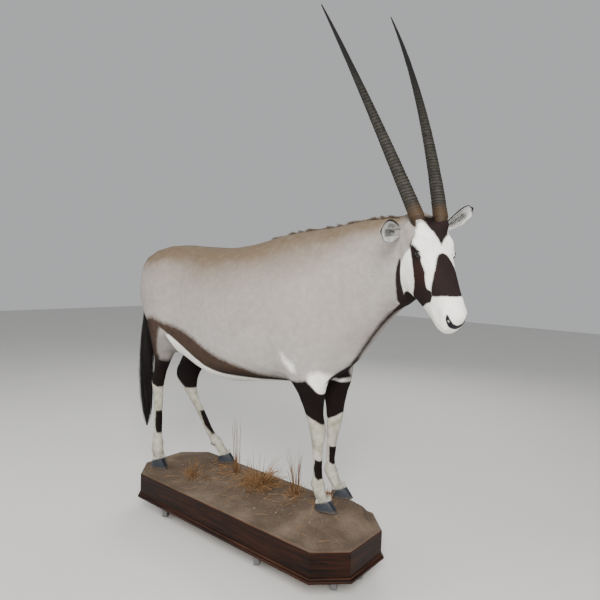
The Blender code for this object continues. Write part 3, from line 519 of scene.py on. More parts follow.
@dataclass(frozen=True)
class CoatLook:
    """Short fur with the breed's marks, read from numbers stored on the skin, and painted shade on the
    back and the lower legs.
    """

    grey: Colour = (0.325, 0.290, 0.266)
    # Back colour: partly the coat's own fawn, partly painted shade where the skin faces up.
    fawn: Colour = (0.165, 0.120, 0.078)
    pale: Colour = (0.47, 0.452, 0.435)
    cream: Colour = (0.95, 0.94, 0.87)
    # Lower-leg white: partly a real cream tint, partly painted shade for the dimmer light low on the
    # legs.
    leg_cream_and_shade: Colour = (0.27, 0.248, 0.180)
    black_brown: Colour = (0.0055, 0.0024, 0.0020)
    face_brown: Colour = (0.0150, 0.0090, 0.0085)
    red_brown: Colour = (0.024, 0.0088, 0.0062)
    stripe_brown: Colour = (0.062, 0.039, 0.027)
    nose: Colour = (0.007, 0.007, 0.010)
    sparse: Colour = (0.085, 0.080, 0.075)

    def make(self, name: str = "short_fur") -> bpy.types.Material:
        """The coat's material."""
        dress = Dress(name)
        leg = ((0.78 - dress.z) / 0.10).clip()
        face = dress.mark("face")
        along_body = dress.noise(1.0, 4.0, dress.stretched((70, 420, 300), (0, 0.35, 0)), 0.6)
        down_leg = dress.noise(1.0, 4.0, dress.stretched((420, 420, 60)), 0.6)
        hairs = along_body + leg * (down_leg - along_body)
        fine = dress.noise(1.0, 3.0, dress.stretched((330, 700, 260))) - 0.5
        locks = dress.noise(1.0, 4.0, dress.stretched((60, 160, 75))) - 0.5
        patches = dress.noise(5.0, 4.0)
        mottle = dress.noise(34.0, 4.0)
        crisp = (face + leg * 0.8 + dress.mark("crisp") * 0.85).clip()
        width = 0.026 - crisp * 0.0200
        ragged = fine * (0.026 - crisp * 0.0212) + locks * (0.022 - crisp * 0.0175)
        # Fawn on the back: partly the coat's own colour along the crest, partly painted shade on skin
        # that faces up.
        back = dress.mark("back")
        back = back * 1.05 + (patches - 0.5) * (0.20 + back * 0.7)
        coat = dress.mix(back.clip(), self.grey, self.fawn)
        coat = dress.mix((dress.mark("pale") + (mottle - 0.5) * 0.35).clip(), coat, self.pale)
        under = dress.mix(mottle, self.sparse, self.grey)
        coat = dress.mix((dress.mark("thin") * (0.5 + mottle)).clip(), coat, under)
        # On the legs the white is mixed towards a darker cream: partly the legs' real cream tint, partly
        # painted shade for the dimmer light low down.
        white = dress.mix(leg * (0.35 + mottle * 0.9), self.cream, self.leg_cream_and_shade)
        coat = dress.mix(((dress.mark("white") + ragged) / width + 0.5).clip(), coat, white)
        black = dress.mix(face, self.black_brown, self.face_brown)
        dark = dress.mix((dress.mark("warm") + (mottle - 0.5) * 0.7).clip(), black,
                         self.red_brown)
        flank = dress.mark("flank")
        dark = dress.mix((flank * (0.45 + mottle * 0.8)).clip(), dark, self.stripe_brown)
        coat = dress.mix(((dress.mark("dark") + ragged) / width + 0.5).clip(), coat, dark)
        soot = ((dress.mark("soot") + ragged * 1.4) / 0.016 + 0.5).clip()
        coat = dress.mix(soot * (0.35 + mottle * 0.7), coat, self.black_brown)
        shade = 0.73 + hairs * 0.36 + (mottle - 0.5) * 0.24 + (patches - 0.5) * 0.30
        shaded = dress.node("ShaderNodeVectorMath", {"operation": "SCALE"},
                            {0: coat, "Scale": shade}).outputs[0]
        bare = (dress.mark("bare") / 0.003 + fine * 0.5 + 0.5).clip()
        leather = dress.cells(420.0)
        dress.set(Base_Color=dress.mix(bare, shaded, self.nose),
                  Roughness=0.90 - bare * 0.54,
                  Normal=dress.bump(hairs + mottle * 0.4 + bare * leather * 0.6, 0.0016, 0.55))
        dress.set(Specular_IOR_Level=0.16)
        return dress.material


@dataclass(frozen=True)
class EarLook:
    """Ear: fawn back, black rim, pale inside with dark streaks."""

    side: Side
    coat: CoatLook = CoatLook()

    @property
    def turn(self) -> float:
        """Sign that puts the streaks on the same edge of both ears."""
        return float(self.side.value)

    def make(self) -> bpy.types.Material:
        """The ear's material."""
        dress = Dress(f"{self.side.name.lower()}_ear_fur")
        along, across, inner = dress.mark("along"), dress.mark("across"), dress.mark("inner")
        fuzz = dress.noise(240.0, 4.0) - 0.5
        clouds = dress.noise(60.0, 3.0)
        upper = across * -self.turn
        rim = ((upper - 0.76 + fuzz * 0.20) / 0.08).clip() * ((along - 0.18) / 0.12).clip()
        lower = ((0.0 - upper - 0.88 + fuzz * 0.16) / 0.06).clip() * ((along - 0.62) / 0.2).clip()
        rim = rim + lower * 0.8
        tip = ((along - 0.90 + fuzz * 0.1) / 0.05).clip()
        streak = 1.0 - (((across * self.turn - 0.16).size() - 0.25 + fuzz * 0.25) / 0.14).clip()
        streak = streak * ((along - 0.26) / 0.08).clip() * ((0.84 - along) / 0.12).clip()
        second = 1.0 - (((across * self.turn + 0.46).size() - 0.15 + fuzz * 0.2) / 0.12).clip()
        second = second * ((along - 0.34) / 0.10).clip() * ((0.76 - along) / 0.10).clip()
        lining = dress.mix(clouds, (0.22, 0.215, 0.215), (0.62, 0.61, 0.59))
        lining = dress.mix((streak + second * 0.65).clip() * (0.55 + clouds * 0.7), lining,
                           (0.010, 0.010, 0.012))
        colour = dress.mix(inner, self.coat.grey, lining)
        colour = dress.mix((rim + tip).clip(), colour, (0.006, 0.005, 0.005))
        dress.set(Base_Color=colour, Roughness=0.88,
                  Normal=dress.bump(dress.noise(300.0, 4.0), 0.0012, 0.5))
        dress.set(Specular_IOR_Level=0.16)
        return dress.material


@dataclass(frozen=True)
class HornLook:
    """Dark horn, browner and fibrous at the root, polished towards the tip."""

    root: Colour = (0.075, 0.043, 0.021)
    ridge: Colour = (0.074, 0.066, 0.052)
    hollow: Colour = (0.0050, 0.0044, 0.0034)
    tip: Colour = (0.0075, 0.0072, 0.0062)

    def make(self) -> bpy.types.Material:
        """The horns' material."""
        dress = Dress("ringed_horn")
        along, ring = dress.mark("along"), dress.mark("ring")
        fibres = dress.noise(1.0, 5.0, dress.stretched((600, 600, 50), (0.0, 0.6, 0.0)))
        blotch = dress.noise(70.0, 4.0)
        flecks = dress.noise(330.0, 4.0)
        worn = (ring * 0.55 + blotch * 0.6 + flecks * 1.1 - 0.88).clip()
        colour = dress.mix(worn, self.hollow, self.ridge)
        base = 1.0 - ((along + (blotch - 0.5) * 0.04 - 0.012) / 0.030).clip()
        tan = dress.mix((fibres * 0.9 + ring * 0.3).clip(), self.hollow, self.root)
        colour = dress.mix(base, colour, tan)
        point = ((along - 0.52) / 0.16).clip()
        colour = dress.mix(point, colour, self.tip)
        dress.set(Base_Color=colour, Roughness=0.58 - point * 0.16 + blotch * 0.14,
                  Normal=dress.bump(fibres + blotch + flecks, 0.0009, 0.6))
        dress.set(Specular_IOR_Level=0.22)
        return dress.material


@dataclass(frozen=True)
class HoofLook:
    """Smooth blue-black hoof horn with faint growth bands and dust at the sole."""

    dark: Colour = (0.016, 0.019, 0.025)
    worn: Colour = (0.045, 0.050, 0.058)
    dust: Colour = (0.13, 0.10, 0.075)

    def make(self) -> bpy.types.Material:
        """The hooves' material."""
        dress = Dress("hoof_horn")
        height = dress.mark("height")
        bands = (height * 60.0 + dress.noise(30.0) * 3.0).wave() * 0.5 + 0.5
        blotch = dress.noise(110.0, 4.0)
        colour = dress.mix((bands * 0.08 + blotch * 0.7 - 0.14).clip(), self.dark, self.worn)
        dusty = (1.0 - height * 4.0 + (blotch - 0.5) * 1.6).clip() * 0.75
        dress.set(Base_Color=dress.mix(dusty, colour, self.dust),
                  Roughness=0.50 + dusty * 0.4 + blotch * 0.1,
                  Normal=dress.bump(bands * 0.4 + blotch, 0.0003, 0.4))
        dress.set(Specular_IOR_Level=0.25)
        return dress.material


@dataclass(frozen=True)
class EyeLook:
    """Dark brown glass eye with a level pupil."""

    def make(self) -> bpy.types.Material:
        """The eyes' material."""
        dress = Dress("glass_eye")
        pupil = 1.0 - ((dress.mark("pupil") - 1.0) / 0.25).clip()
        fibres = dress.noise(900.0, 3.0)
        iris = dress.mix(fibres, (0.030, 0.011, 0.004), (0.009, 0.004, 0.002))
        white = ((dress.mark("iris") - 1.0) / 0.12).clip()
        iris = dress.mix(white, iris, (0.02, 0.014, 0.012))
        dress.set(Base_Color=dress.mix(pupil, iris, (0.002, 0.002, 0.003)),
                  Roughness=0.07 + fibres * 0.02)
        dress.set(Coat_Weight=0.4, Coat_Roughness=0.02, Specular_IOR_Level=0.3)
        return dress.material


@dataclass(frozen=True)
class HairLook:
    """Loose hair whose strands each have a slightly different shade."""

    name: str
    dark: Colour
    light: Colour
    roughness: float = 0.55

    def make(self) -> bpy.types.Material:
        """The hair's material."""
        dress = Dress(self.name)
        shade = (dress.mark("shade") + (dress.noise(150.0) - 0.5) * 0.5).clip()
        dress.set(Base_Color=dress.mix(shade, self.dark, self.light),
                  Roughness=self.roughness + dress.noise(90.0) * 0.15)
        dress.set(Specular_IOR_Level=0.18)
        return dress.material


@dataclass(frozen=True)
class WoodLook:
    """Stained and lacquered timber with long grain, worn lighter along its upper edge."""

    name: str
    deep: Colour
    light: Colour
    edge: Colour
    edge_z: float
    roughness: float = 0.32

    def make(self) -> bpy.types.Material:
        """The timber's material."""
        dress = Dress(self.name)
        warp = dress.noise(3.0, 3.0, dress.stretched((1.0, 1.0, 5.0)))
        bent = dress.node("ShaderNodeVectorMath", {"operation": "MULTIPLY_ADD"}, {
            0: warp.socket, 1: (0.03, 0.03, 0.05), 2: dress.place}).outputs[0]
        long = dress.node("ShaderNodeMapping", {}, {0: bent, "Scale": (4.0, 4.0, 95.0)}).outputs[0]
        grain = dress.noise(1.0, 6.0, long, 0.62)
        pores = dress.noise(1.0, 4.0, dress.stretched((26, 26, 900)), 0.6)
        figure = dress.noise(5.0, 3.0)
        share = ((grain - 0.38) * 2.6 + (figure - 0.5) * 0.9).clip()
        colour = dress.mix(share, self.deep, self.light)
        colour = dress.mix(((0.40 - pores) * 5.0).clip() * 0.5, colour, self.deep)
        worn = ((dress.z - self.edge_z + (figure - 0.5) * 0.004) / 0.0012).clip()
        colour = dress.mix(worn * 0.8, colour, self.edge)
        dress.set(Base_Color=colour, Roughness=self.roughness + figure * 0.16,
                  Normal=dress.bump(pores + grain * 0.5, 0.0004, 0.35))
        dress.set(Coat_Weight=0.05, Coat_Roughness=0.22, Specular_IOR_Level=0.14)
        return dress.material


@dataclass(frozen=True)
class SandLook:
    """Dry grey-brown sand and grit with darker damp patches."""

    pale: Colour = (0.165, 0.124, 0.088)
    dark: Colour = (0.078, 0.055, 0.038)
    grit: Colour = (0.26, 0.215, 0.165)

    def make(self) -> bpy.types.Material:
        """The sand's material."""
        dress = Dress("dry_sand")
        patches = dress.noise(7.0, 5.0)
        grains = dress.noise(650.0, 3.0)
        stones = dress.cells(240.0)
        colour = dress.mix(((patches - 0.40) * 2.8 + (grains - 0.5) * 1.2).clip(), self.dark,
                           self.pale)
        colour = dress.mix((0.34 - stones).clip() * 1.6, colour, self.grit)
        specks = ((dress.noise(420.0, 2.0) - 0.64) * 9.0).clip()
        colour = dress.mix(specks * 0.6, colour, (0.07, 0.05, 0.04))
        height = grains + (1.0 - stones) * 0.5 + dress.noise(90.0, 4.0) * 1.5
        dress.set(Base_Color=colour, Roughness=0.95, Normal=dress.bump(height, 0.0022, 0.8))
        dress.set(Specular_IOR_Level=0.2)
        return dress.material


@dataclass(frozen=True)
class MetalLook:
    """Zinc plated steel with a dull bloom and fine scratches."""

    name: str = "zinc_steel"
    colour: Colour = (0.52, 0.52, 0.53)

    def make(self) -> bpy.types.Material:
        """The metal's material."""
        dress = Dress(self.name)
        bloom = dress.noise(120.0, 4.0)
        scratch = dress.noise(1.0, 3.0, dress.stretched((900, 60, 300)))
        colour = dress.mix(bloom, self.colour, tuple(0.6 * c for c in self.colour))
        dress.set(Base_Color=colour, Metallic=1.0, Roughness=0.22 + bloom * 0.25,
                  Normal=dress.bump(scratch + bloom, 0.0002, 0.4))
        return dress.material


@dataclass(frozen=True)
class WheelLook:
    """Grey caster wheel, scuffed on its tread."""

    def make(self) -> bpy.types.Material:
        """The wheels' material."""
        dress = Dress("grey_wheel")
        scuff = dress.noise(160.0, 5.0)
        speck = dress.noise(900.0, 2.0)
        colour = dress.mix((scuff * 1.4 - 0.3).clip(), (0.115, 0.115, 0.12), (0.21, 0.205, 0.20))
        dress.set(Base_Color=colour, Roughness=0.55 + scuff * 0.25,
                  Normal=dress.bump(scuff + speck * 0.4, 0.0004, 0.5))
        return dress.material


# Strands: hair, straw and grass


@dataclass
class Strands:
    """Many thin tapered strands in one mesh, each three-sided."""

    name: str
    paths: np.ndarray
    radii: np.ndarray
    shades: np.ndarray

    def build(self) -> bpy.types.Object:
        """Mesh of all strands.

        Returns:
            The piece, with a shade stored for each strand.
        """
        count, rows, _ = self.paths.shape
        way = np.gradient(self.paths, axis=1)
        way /= np.linalg.norm(way, axis=2, keepdims=True) + 1e-9
        helper = np.where(np.abs(way[:, :, 2:3]) > 0.9, np.array((1.0, 0, 0)), np.array((0, 0, 1.0)))
        one = np.cross(way, helper)
        one /= np.linalg.norm(one, axis=2, keepdims=True) + 1e-9
        two = np.cross(way, one)
        taper = np.linspace(1.0, 0.18, rows)[None, :, None]
        radius = self.radii[:, None, None] * taper
        corners = [self.paths + radius * (math.cos(a) * one + math.sin(a) * two)
                   for a in (0.0, 2.0944, 4.1888)]
        points = np.stack(corners, 2).reshape(-1, 3)
        ring = np.arange(3)
        side = []
        for row in range(rows - 1):
            low, high = row * 3 + ring, (row + 1) * 3 + ring
            side.append(np.stack([low, np.roll(low, -1), np.roll(high, -1), high], 1))
        side = np.concatenate(side)
        starts = np.arange(count) * rows * 3
        quads = (side[None] + starts[:, None, None]).reshape(-1, 4)
        caps = np.concatenate([starts[:, None] + ring[::-1], starts[:, None] + (rows - 1) * 3 + ring])
        thing = Bench.new(self.name, points, quads.tolist() + caps.tolist())
        Bench.attribute(thing, "shade", np.repeat(self.shades, rows * 3))
        Bench.smooth(thing)
        return thing


# The skin and its marks


@dataclass(frozen=True)
class Patch:
    """A mark drawn on the side view of the animal: x ahead and z up, in its own frame."""

    outline: Points
    side: Side = Side.BOTH

    def depth(self, points: np.ndarray) -> np.ndarray:
        """Distance of the animal's points inside the mark."""
        found = within(points[:, (0, 2)], self.outline)
        if self.side == Side.BOTH:
            return found
        return np.minimum(found, points[:, 1] * self.side.value)


@dataclass
class Marks:
    """The dark and white marks, as outlines and strokes in the animal's and head's frames."""

    flank: Patch = Patch((
        (-0.62, 0.985), (-0.522, 1.004), (-0.425, 0.985), (-0.34, 0.972), (-0.254, 0.952),
        (-0.19, 0.925), (-0.130, 0.892), (-0.06, 0.863), (0.019, 0.841), (0.133, 0.806),
        (0.254, 0.796), (0.33, 0.80), (0.33, 0.775), (0.259, 0.783), (0.114, 0.775),
        (-0.06, 0.779), (-0.12, 0.786), (-0.184, 0.802), (-0.235, 0.83), (-0.276, 0.858),
        (-0.336, 0.892), (-0.406, 0.928), (-0.46, 0.955), (-0.55, 0.94)))
    thighs: tuple = (
        Patch(((-0.60, 0.99), (-0.522, 1.0), (-0.46, 0.965), (-0.483, 0.925), (-0.499, 0.888),
               (-0.521, 0.823), (-0.518, 0.790), (-0.46, 0.765), (-0.46, 0.70), (-0.50, 0.655),
               (-0.56, 0.632), (-0.60, 0.648), (-0.630, 0.69), (-0.66, 0.74), (-0.675, 0.83),
               (-0.665, 0.90), (-0.65, 0.96)), Side.RIGHT),
        Patch(((-0.60, 0.99), (-0.522, 1.0), (-0.46, 0.965), (-0.483, 0.925), (-0.495, 0.888),
               (-0.50, 0.823), (-0.47, 0.780), (-0.40, 0.765), (-0.42, 0.70), (-0.46, 0.64),
               (-0.50, 0.606), (-0.56, 0.60), (-0.62, 0.64), (-0.69, 0.66), (-0.70, 0.74),
               (-0.675, 0.83), (-0.665, 0.90), (-0.65, 0.96)), Side.LEFT))
    forelegs: tuple = (
        Patch(((0.27, 0.80), (0.334, 0.803), (0.378, 0.815), (0.401, 0.788), (0.419, 0.762),
               (0.46, 0.742), (0.48, 0.70), (0.44, 0.640), (0.418, 0.622), (0.400, 0.640),
               (0.371, 0.655), (0.34, 0.668), (0.28, 0.70)), Side.RIGHT),
        Patch(((0.27, 0.80), (0.33, 0.80), (0.38, 0.798), (0.42, 0.786), (0.47, 0.782),
               (0.48, 0.70), (0.43, 0.655), (0.40, 0.632), (0.365, 0.615), (0.33, 0.64),
               (0.28, 0.70)), Side.LEFT))
    cannons: tuple = (
        Patch(((0.384, 0.470), (0.43, 0.464), (0.43, 0.40), (0.404, 0.386), (0.386, 0.398),
               (0.379, 0.43)), Side.RIGHT),
        Patch(((0.368, 0.49), (0.41, 0.49), (0.41, 0.43), (0.39, 0.408), (0.371, 0.42)),
              Side.LEFT),
        Patch(((-0.572, 0.510), (-0.53, 0.515), (-0.52, 0.40), (-0.555, 0.395), (-0.575, 0.43)),
              Side.RIGHT),
        Patch(((-0.475, 0.486), (-0.43, 0.49), (-0.37, 0.375), (-0.398, 0.366), (-0.44, 0.41)),
              Side.LEFT))
    elbow: Patch = Patch(((0.392, 0.842), (0.43, 0.852), (0.458, 0.832), (0.45, 0.775),
                          (0.43, 0.750), (0.414, 0.766), (0.400, 0.790), (0.383, 0.816)),
                         Side.RIGHT)
    armpit: Patch = Patch(((0.285, 0.918), (0.298, 0.895), (0.325, 0.882), (0.332, 0.845),
                           (0.312, 0.842), (0.295, 0.862), (0.283, 0.89)))
    belly: Patch = Patch(((-0.455, 0.957), (-0.406, 0.928), (-0.336, 0.892), (-0.276, 0.858),
                          (-0.235, 0.83), (-0.184, 0.802), (-0.12, 0.786), (-0.06, 0.779),
                          (0.114, 0.775), (0.259, 0.783), (0.30, 0.775), (0.30, 0.68),
                          (-0.44, 0.68), (-0.40, 0.80), (-0.42, 0.88)))
    gaskin: tuple = (
        Patch(((-0.487, 0.915), (-0.415, 0.945), (-0.375, 0.90), (-0.41, 0.84), (-0.44, 0.78),
               (-0.50, 0.765), (-0.525, 0.80), (-0.505, 0.87)), Side.RIGHT),
        Patch(((-0.487, 0.915), (-0.415, 0.945), (-0.36, 0.90), (-0.36, 0.84), (-0.37, 0.77),
               (-0.46, 0.765), (-0.50, 0.80), (-0.50, 0.87)), Side.LEFT))
    chest: Patch = Patch(((0.415, 0.800), (0.46, 0.805), (0.50, 0.845), (0.545, 0.905),
                          (0.52, 0.915), (0.47, 0.880), (0.43, 0.862), (0.41, 0.83)))
    chest_half_width: float = 0.10
    chest_line: Points = ((0.42, 0.045, 0.784, 0.008), (0.45, 0.070, 0.797, 0.009),
                          (0.478, 0.085, 0.826, 0.007))
    white_leg_z: float = 0.70
    croup: Points = ((-0.64, 0.0, 1.356, 0.010), (-0.557, 0.0, 1.375, 0.020),
                     (-0.50, 0.0, 1.378, 0.023), (-0.40, 0.0, 1.366, 0.012),
                     (-0.30, 0.0, 1.358, 0.006), (0.05, 0.0, 1.378, 0.005),
                     (0.12, 0.0, 1.405, 0.008), (0.24, 0.0, 1.428, 0.012),
                     (0.39, 0.0, 1.440, 0.012), (0.54, -0.025, 1.465, 0.010),
                     (0.69, -0.082, 1.470, 0.008))
    throat: Points = ((0.800, -0.112, 1.190, 0.030), (0.768, -0.082, 1.146, 0.026),
                      (0.714, -0.060, 1.110, 0.020), (0.656, -0.040, 1.060, 0.016),
                      (0.604, -0.025, 1.000, 0.014), (0.552, -0.012, 0.932, 0.014),
                      (0.520, -0.006, 0.890, 0.020))
    tail: Points = ((-0.776, -0.013, 1.150, 0.030), (-0.790, -0.020, 1.00, 0.06))
    # In the head's frame: length and arc round the nose.
    forehead: Points = ((-0.14, -0.030), (-0.100, -0.026), (-0.085, -0.014), (-0.060, -0.002),
                        (-0.03, 0.003), (-0.002, 0.006), (-0.028, 0.020), (-0.055, 0.040),
                        (-0.085, 0.047), (-0.14, 0.045))
    blaze: Points = ((0.024, 0.003), (0.030, -0.012), (0.039, -0.0173), (0.075, -0.0303),
                     (0.108, -0.048), (0.135, -0.068), (0.150, -0.074), (0.166, -0.050),
                     (0.183, -0.0188), (0.186, 0.0), (0.183, 0.0188), (0.166, 0.050),
                     (0.150, 0.074), (0.135, 0.068), (0.108, 0.048), (0.075, 0.0303),
                     (0.039, 0.0173), (0.030, 0.012))
    cheek_stripe: Points = ((-0.030, 0.060), (0.005, 0.050), (0.035, 0.0575), (0.070, 0.0594),
                            (0.100, 0.074), (0.118, 0.080), (0.135, 0.066), (0.152, 0.070),
                            (0.162, 0.0956), (0.152, 0.13), (0.146, 0.165), (0.125, 0.225),
                            (0.090, 0.225), (0.079, 0.175), (0.062, 0.120), (0.045, 0.102),
                            (0.022, 0.089), (-0.005, 0.079), (-0.030, 0.071))
    white_face: Points = ((-0.088, 0.10), (-0.082, 0.042), (-0.050, 0.034), (-0.030, 0.020),
                          (-0.030, -0.03), (-0.024, -0.06), (-0.006, -0.09), (0.008, -0.12),
                          (0.036, -0.155), (0.05, -0.22), (0.40, -0.22), (0.40, 0.14),
                          (-0.07, 0.14))
    jaw: Points = ((-0.034, 0.084, -0.066, 0.007), (-0.014, 0.078, -0.096, 0.010),
                   (0.006, 0.070, -0.124, 0.011), (0.028, 0.056, -0.158, 0.013),
                   (0.044, 0.034, -0.195, 0.018), (0.046, 0.0, -0.225, 0.022))
    temple: Points = ((-0.086, 0.073, 0.046, 0.004), (-0.050, 0.080, 0.031, 0.004),
                      (-0.028, 0.083, 0.020, 0.006))
    eye_corner: Points = ((-0.034, 0.082, 0.016, 0.005), (-0.003, 0.088, 0.019, 0.013),
                          (0.030, 0.070, 0.030, 0.005))
    nose_pad: Points = ((0.234, 0.041, 0.016, 0.005), (0.248, 0.036, 0.002, 0.009),
                        (0.262, 0.022, -0.010, 0.010), (0.269, 0.0, -0.016, 0.010))
    arc_centre: float = -0.04
    arc_radius: float = 0.07

    def in_head(self, head: np.ndarray) -> tuple[np.ndarray, np.ndarray]:
        """Length and arc coordinates of head points, and the points with y made positive."""
        arc = np.arctan2(head[:, 1], head[:, 2] - self.arc_centre) * self.arc_radius
        flat = np.stack([head[:, 0], arc], 1)
        return flat, fold(head)

    def dark(self, body: np.ndarray, head: np.ndarray) -> np.ndarray:
        """Depth of every point inside the dark marks."""
        flat, folded = self.in_head(head)
        found = [patch.depth(body) for patch in (self.flank, *self.thighs, *self.forelegs,
                                                 *self.cannons)]
        half_width = np.clip(self.chest_half_width - 0.95 * (body[:, 2] - 0.80), 0.012, 0.12)
        found.append(np.minimum(self.chest.depth(body), half_width - np.abs(body[:, 1] - 0.01)))
        found += [stroke(body, self.throat), stroke(body, self.tail)]
        near = np.where(head[:, 2] > -0.2, 0.0, -1.0) + np.where(head[:, 0] > -0.16, 0.0, -1.0)
        on_top = np.where(head[:, 2] > 0.02, 0.0, -1.0)
        found.append(within(flat, self.forehead) + near + on_top)
        found.append(within(flat, self.blaze) + near)
        found.append(within(np.abs(flat) * (np.sign(flat) * (1, 0) + (0, 1)),
                            self.cheek_stripe) + near)
        found += [stroke(folded, path) for path in (self.jaw, self.temple, self.eye_corner)]
        return np.max(found, 0)

    def white(self, body: np.ndarray, head: np.ndarray) -> np.ndarray:
        """Depth of every point inside the white marks."""
        found = [self.white_leg_z - body[:, 2], self.elbow.depth(body), self.armpit.depth(body),
                 self.belly.depth(body) - np.where(np.abs(body[:, 0] + 0.45) < 0.04, 0.01, 0),
                 stroke(body, self.chest_line)]
        face = within(head[:, (0, 2)], self.white_face)
        near = np.where(np.abs(head[:, 1]) < 0.13, 0.0, -1.0)
        found.append(np.minimum(face, 0.012) + near)
        return np.max(found, 0)


@dataclass
class Bump:
    """One soft swelling or hollow of the skin."""

    place: Sequence[float]
    size: Sequence[float]
    rise: float


@dataclass
class Eye:
    """Eyeball and the opening between its lids, in the head's frame for the left eye."""

    place: Vector = field(default_factory=lambda: Vector((0.003, 0.059, 0.018)))
    radius: float = 0.0178
    half_length: float = 0.0155
    half_height: float = 0.0047
    gaze: Vector = field(default_factory=lambda: Vector((0.34, 0.90, 0.28)).normalized())
    long_way: Vector = field(default_factory=lambda: Vector((0.88, -0.42, 0.22)))

    def axes(self, side: Side) -> tuple[Vector, Vector, Vector, Vector]:
        """Centre, long axis, upward axis and gaze of one eye in the world."""
        flip = Vector((1, side.value, 1))
        turn = HEAD.to_3x3()
        gaze = (turn @ (self.gaze * flip)).normalized()
        along = turn @ (self.long_way * flip)
        along = (along - along.dot(gaze) * gaze).normalized()
        return HEAD @ (self.place * flip), along, gaze.cross(along) * -side.value, gaze

    def in_eye(self, points: np.ndarray, side: Side) -> np.ndarray:
        """World points as length, height and depth in one eye's axes."""
        centre, along, up, gaze = self.axes(side)
        return (points - np.array(centre)) @ np.array((along, up, gaze)).T

    def build_ball(self, side: Side) -> bpy.types.Object:
        """Eyeball with its iris and pupil stored as distances."""
        centre, *_ = self.axes(side)
        bpy.ops.object.select_all(action="DESELECT")
        bpy.ops.mesh.primitive_uv_sphere_add(segments=40, ring_count=28, radius=self.radius,
                                             location=centre)
        ball = Bench.settle(bpy.context.view_layer.objects.active)
        ball.name = ball.data.name = f"{side.name.lower()}_glass_eye"
        own = self.in_eye(Bench.points(ball), side)
        clear = ease(own[:, 2], 0.80 * self.radius, self.radius)
        centre_row = np.array(centre)
        points = Bench.points(ball)
        Bench.place(ball, points + (points - centre_row) / self.radius * clear[:, None] * 0.0012)
        Bench.attribute(ball, "iris", np.hypot(own[:, 0], own[:, 1]) / 0.0125 + (own[:, 2] < 0) * 2)
        Bench.attribute(ball, "pupil", np.hypot(own[:, 0] / 0.0085, own[:, 1] / 0.0036)
                        + (own[:, 2] < 0) * 3)
        Bench.smooth(ball)
        return ball

    def build_rim(self, side: Side) -> bpy.types.Object:
        """Bare black rim of the lids, a tube round the opening."""
        centre, along, up, gaze = (np.array(v) for v in self.axes(side))
        turns, sides = 48, 10
        points = []
        for angle in np.arange(turns) * 2 * math.pi / turns:
            u = self.half_length * math.cos(angle)
            v = self.half_height * math.sin(angle) * (1.0 - 0.35 * math.cos(angle) ** 2)
            w = math.sqrt(max(self.radius ** 2 - u * u - v * v, 0.00001)) + 0.0010
            spine = centre + along * u + up * v + gaze * w
            out = (spine - centre) / np.linalg.norm(spine - centre)
            side_way = along * math.cos(angle) + up * math.sin(angle)
            thick = 0.0018 - 0.0003 * abs(math.cos(angle))
            for turn in np.arange(sides) * 2 * math.pi / sides:
                points.append(spine + thick * (math.cos(turn) * out + math.sin(turn) * side_way))
        faces = [(i * sides + j, i * sides + (j + 1) % sides,
                  (i + 1) % turns * sides + (j + 1) % sides, (i + 1) % turns * sides + j)
                 for i in range(turns) for j in range(sides)]
        rim = Bench.new(f"{side.name.lower()}_eye_rim", np.array(points), faces)
        Bench.outward(rim)
        Bench.smooth(rim)
        return rim


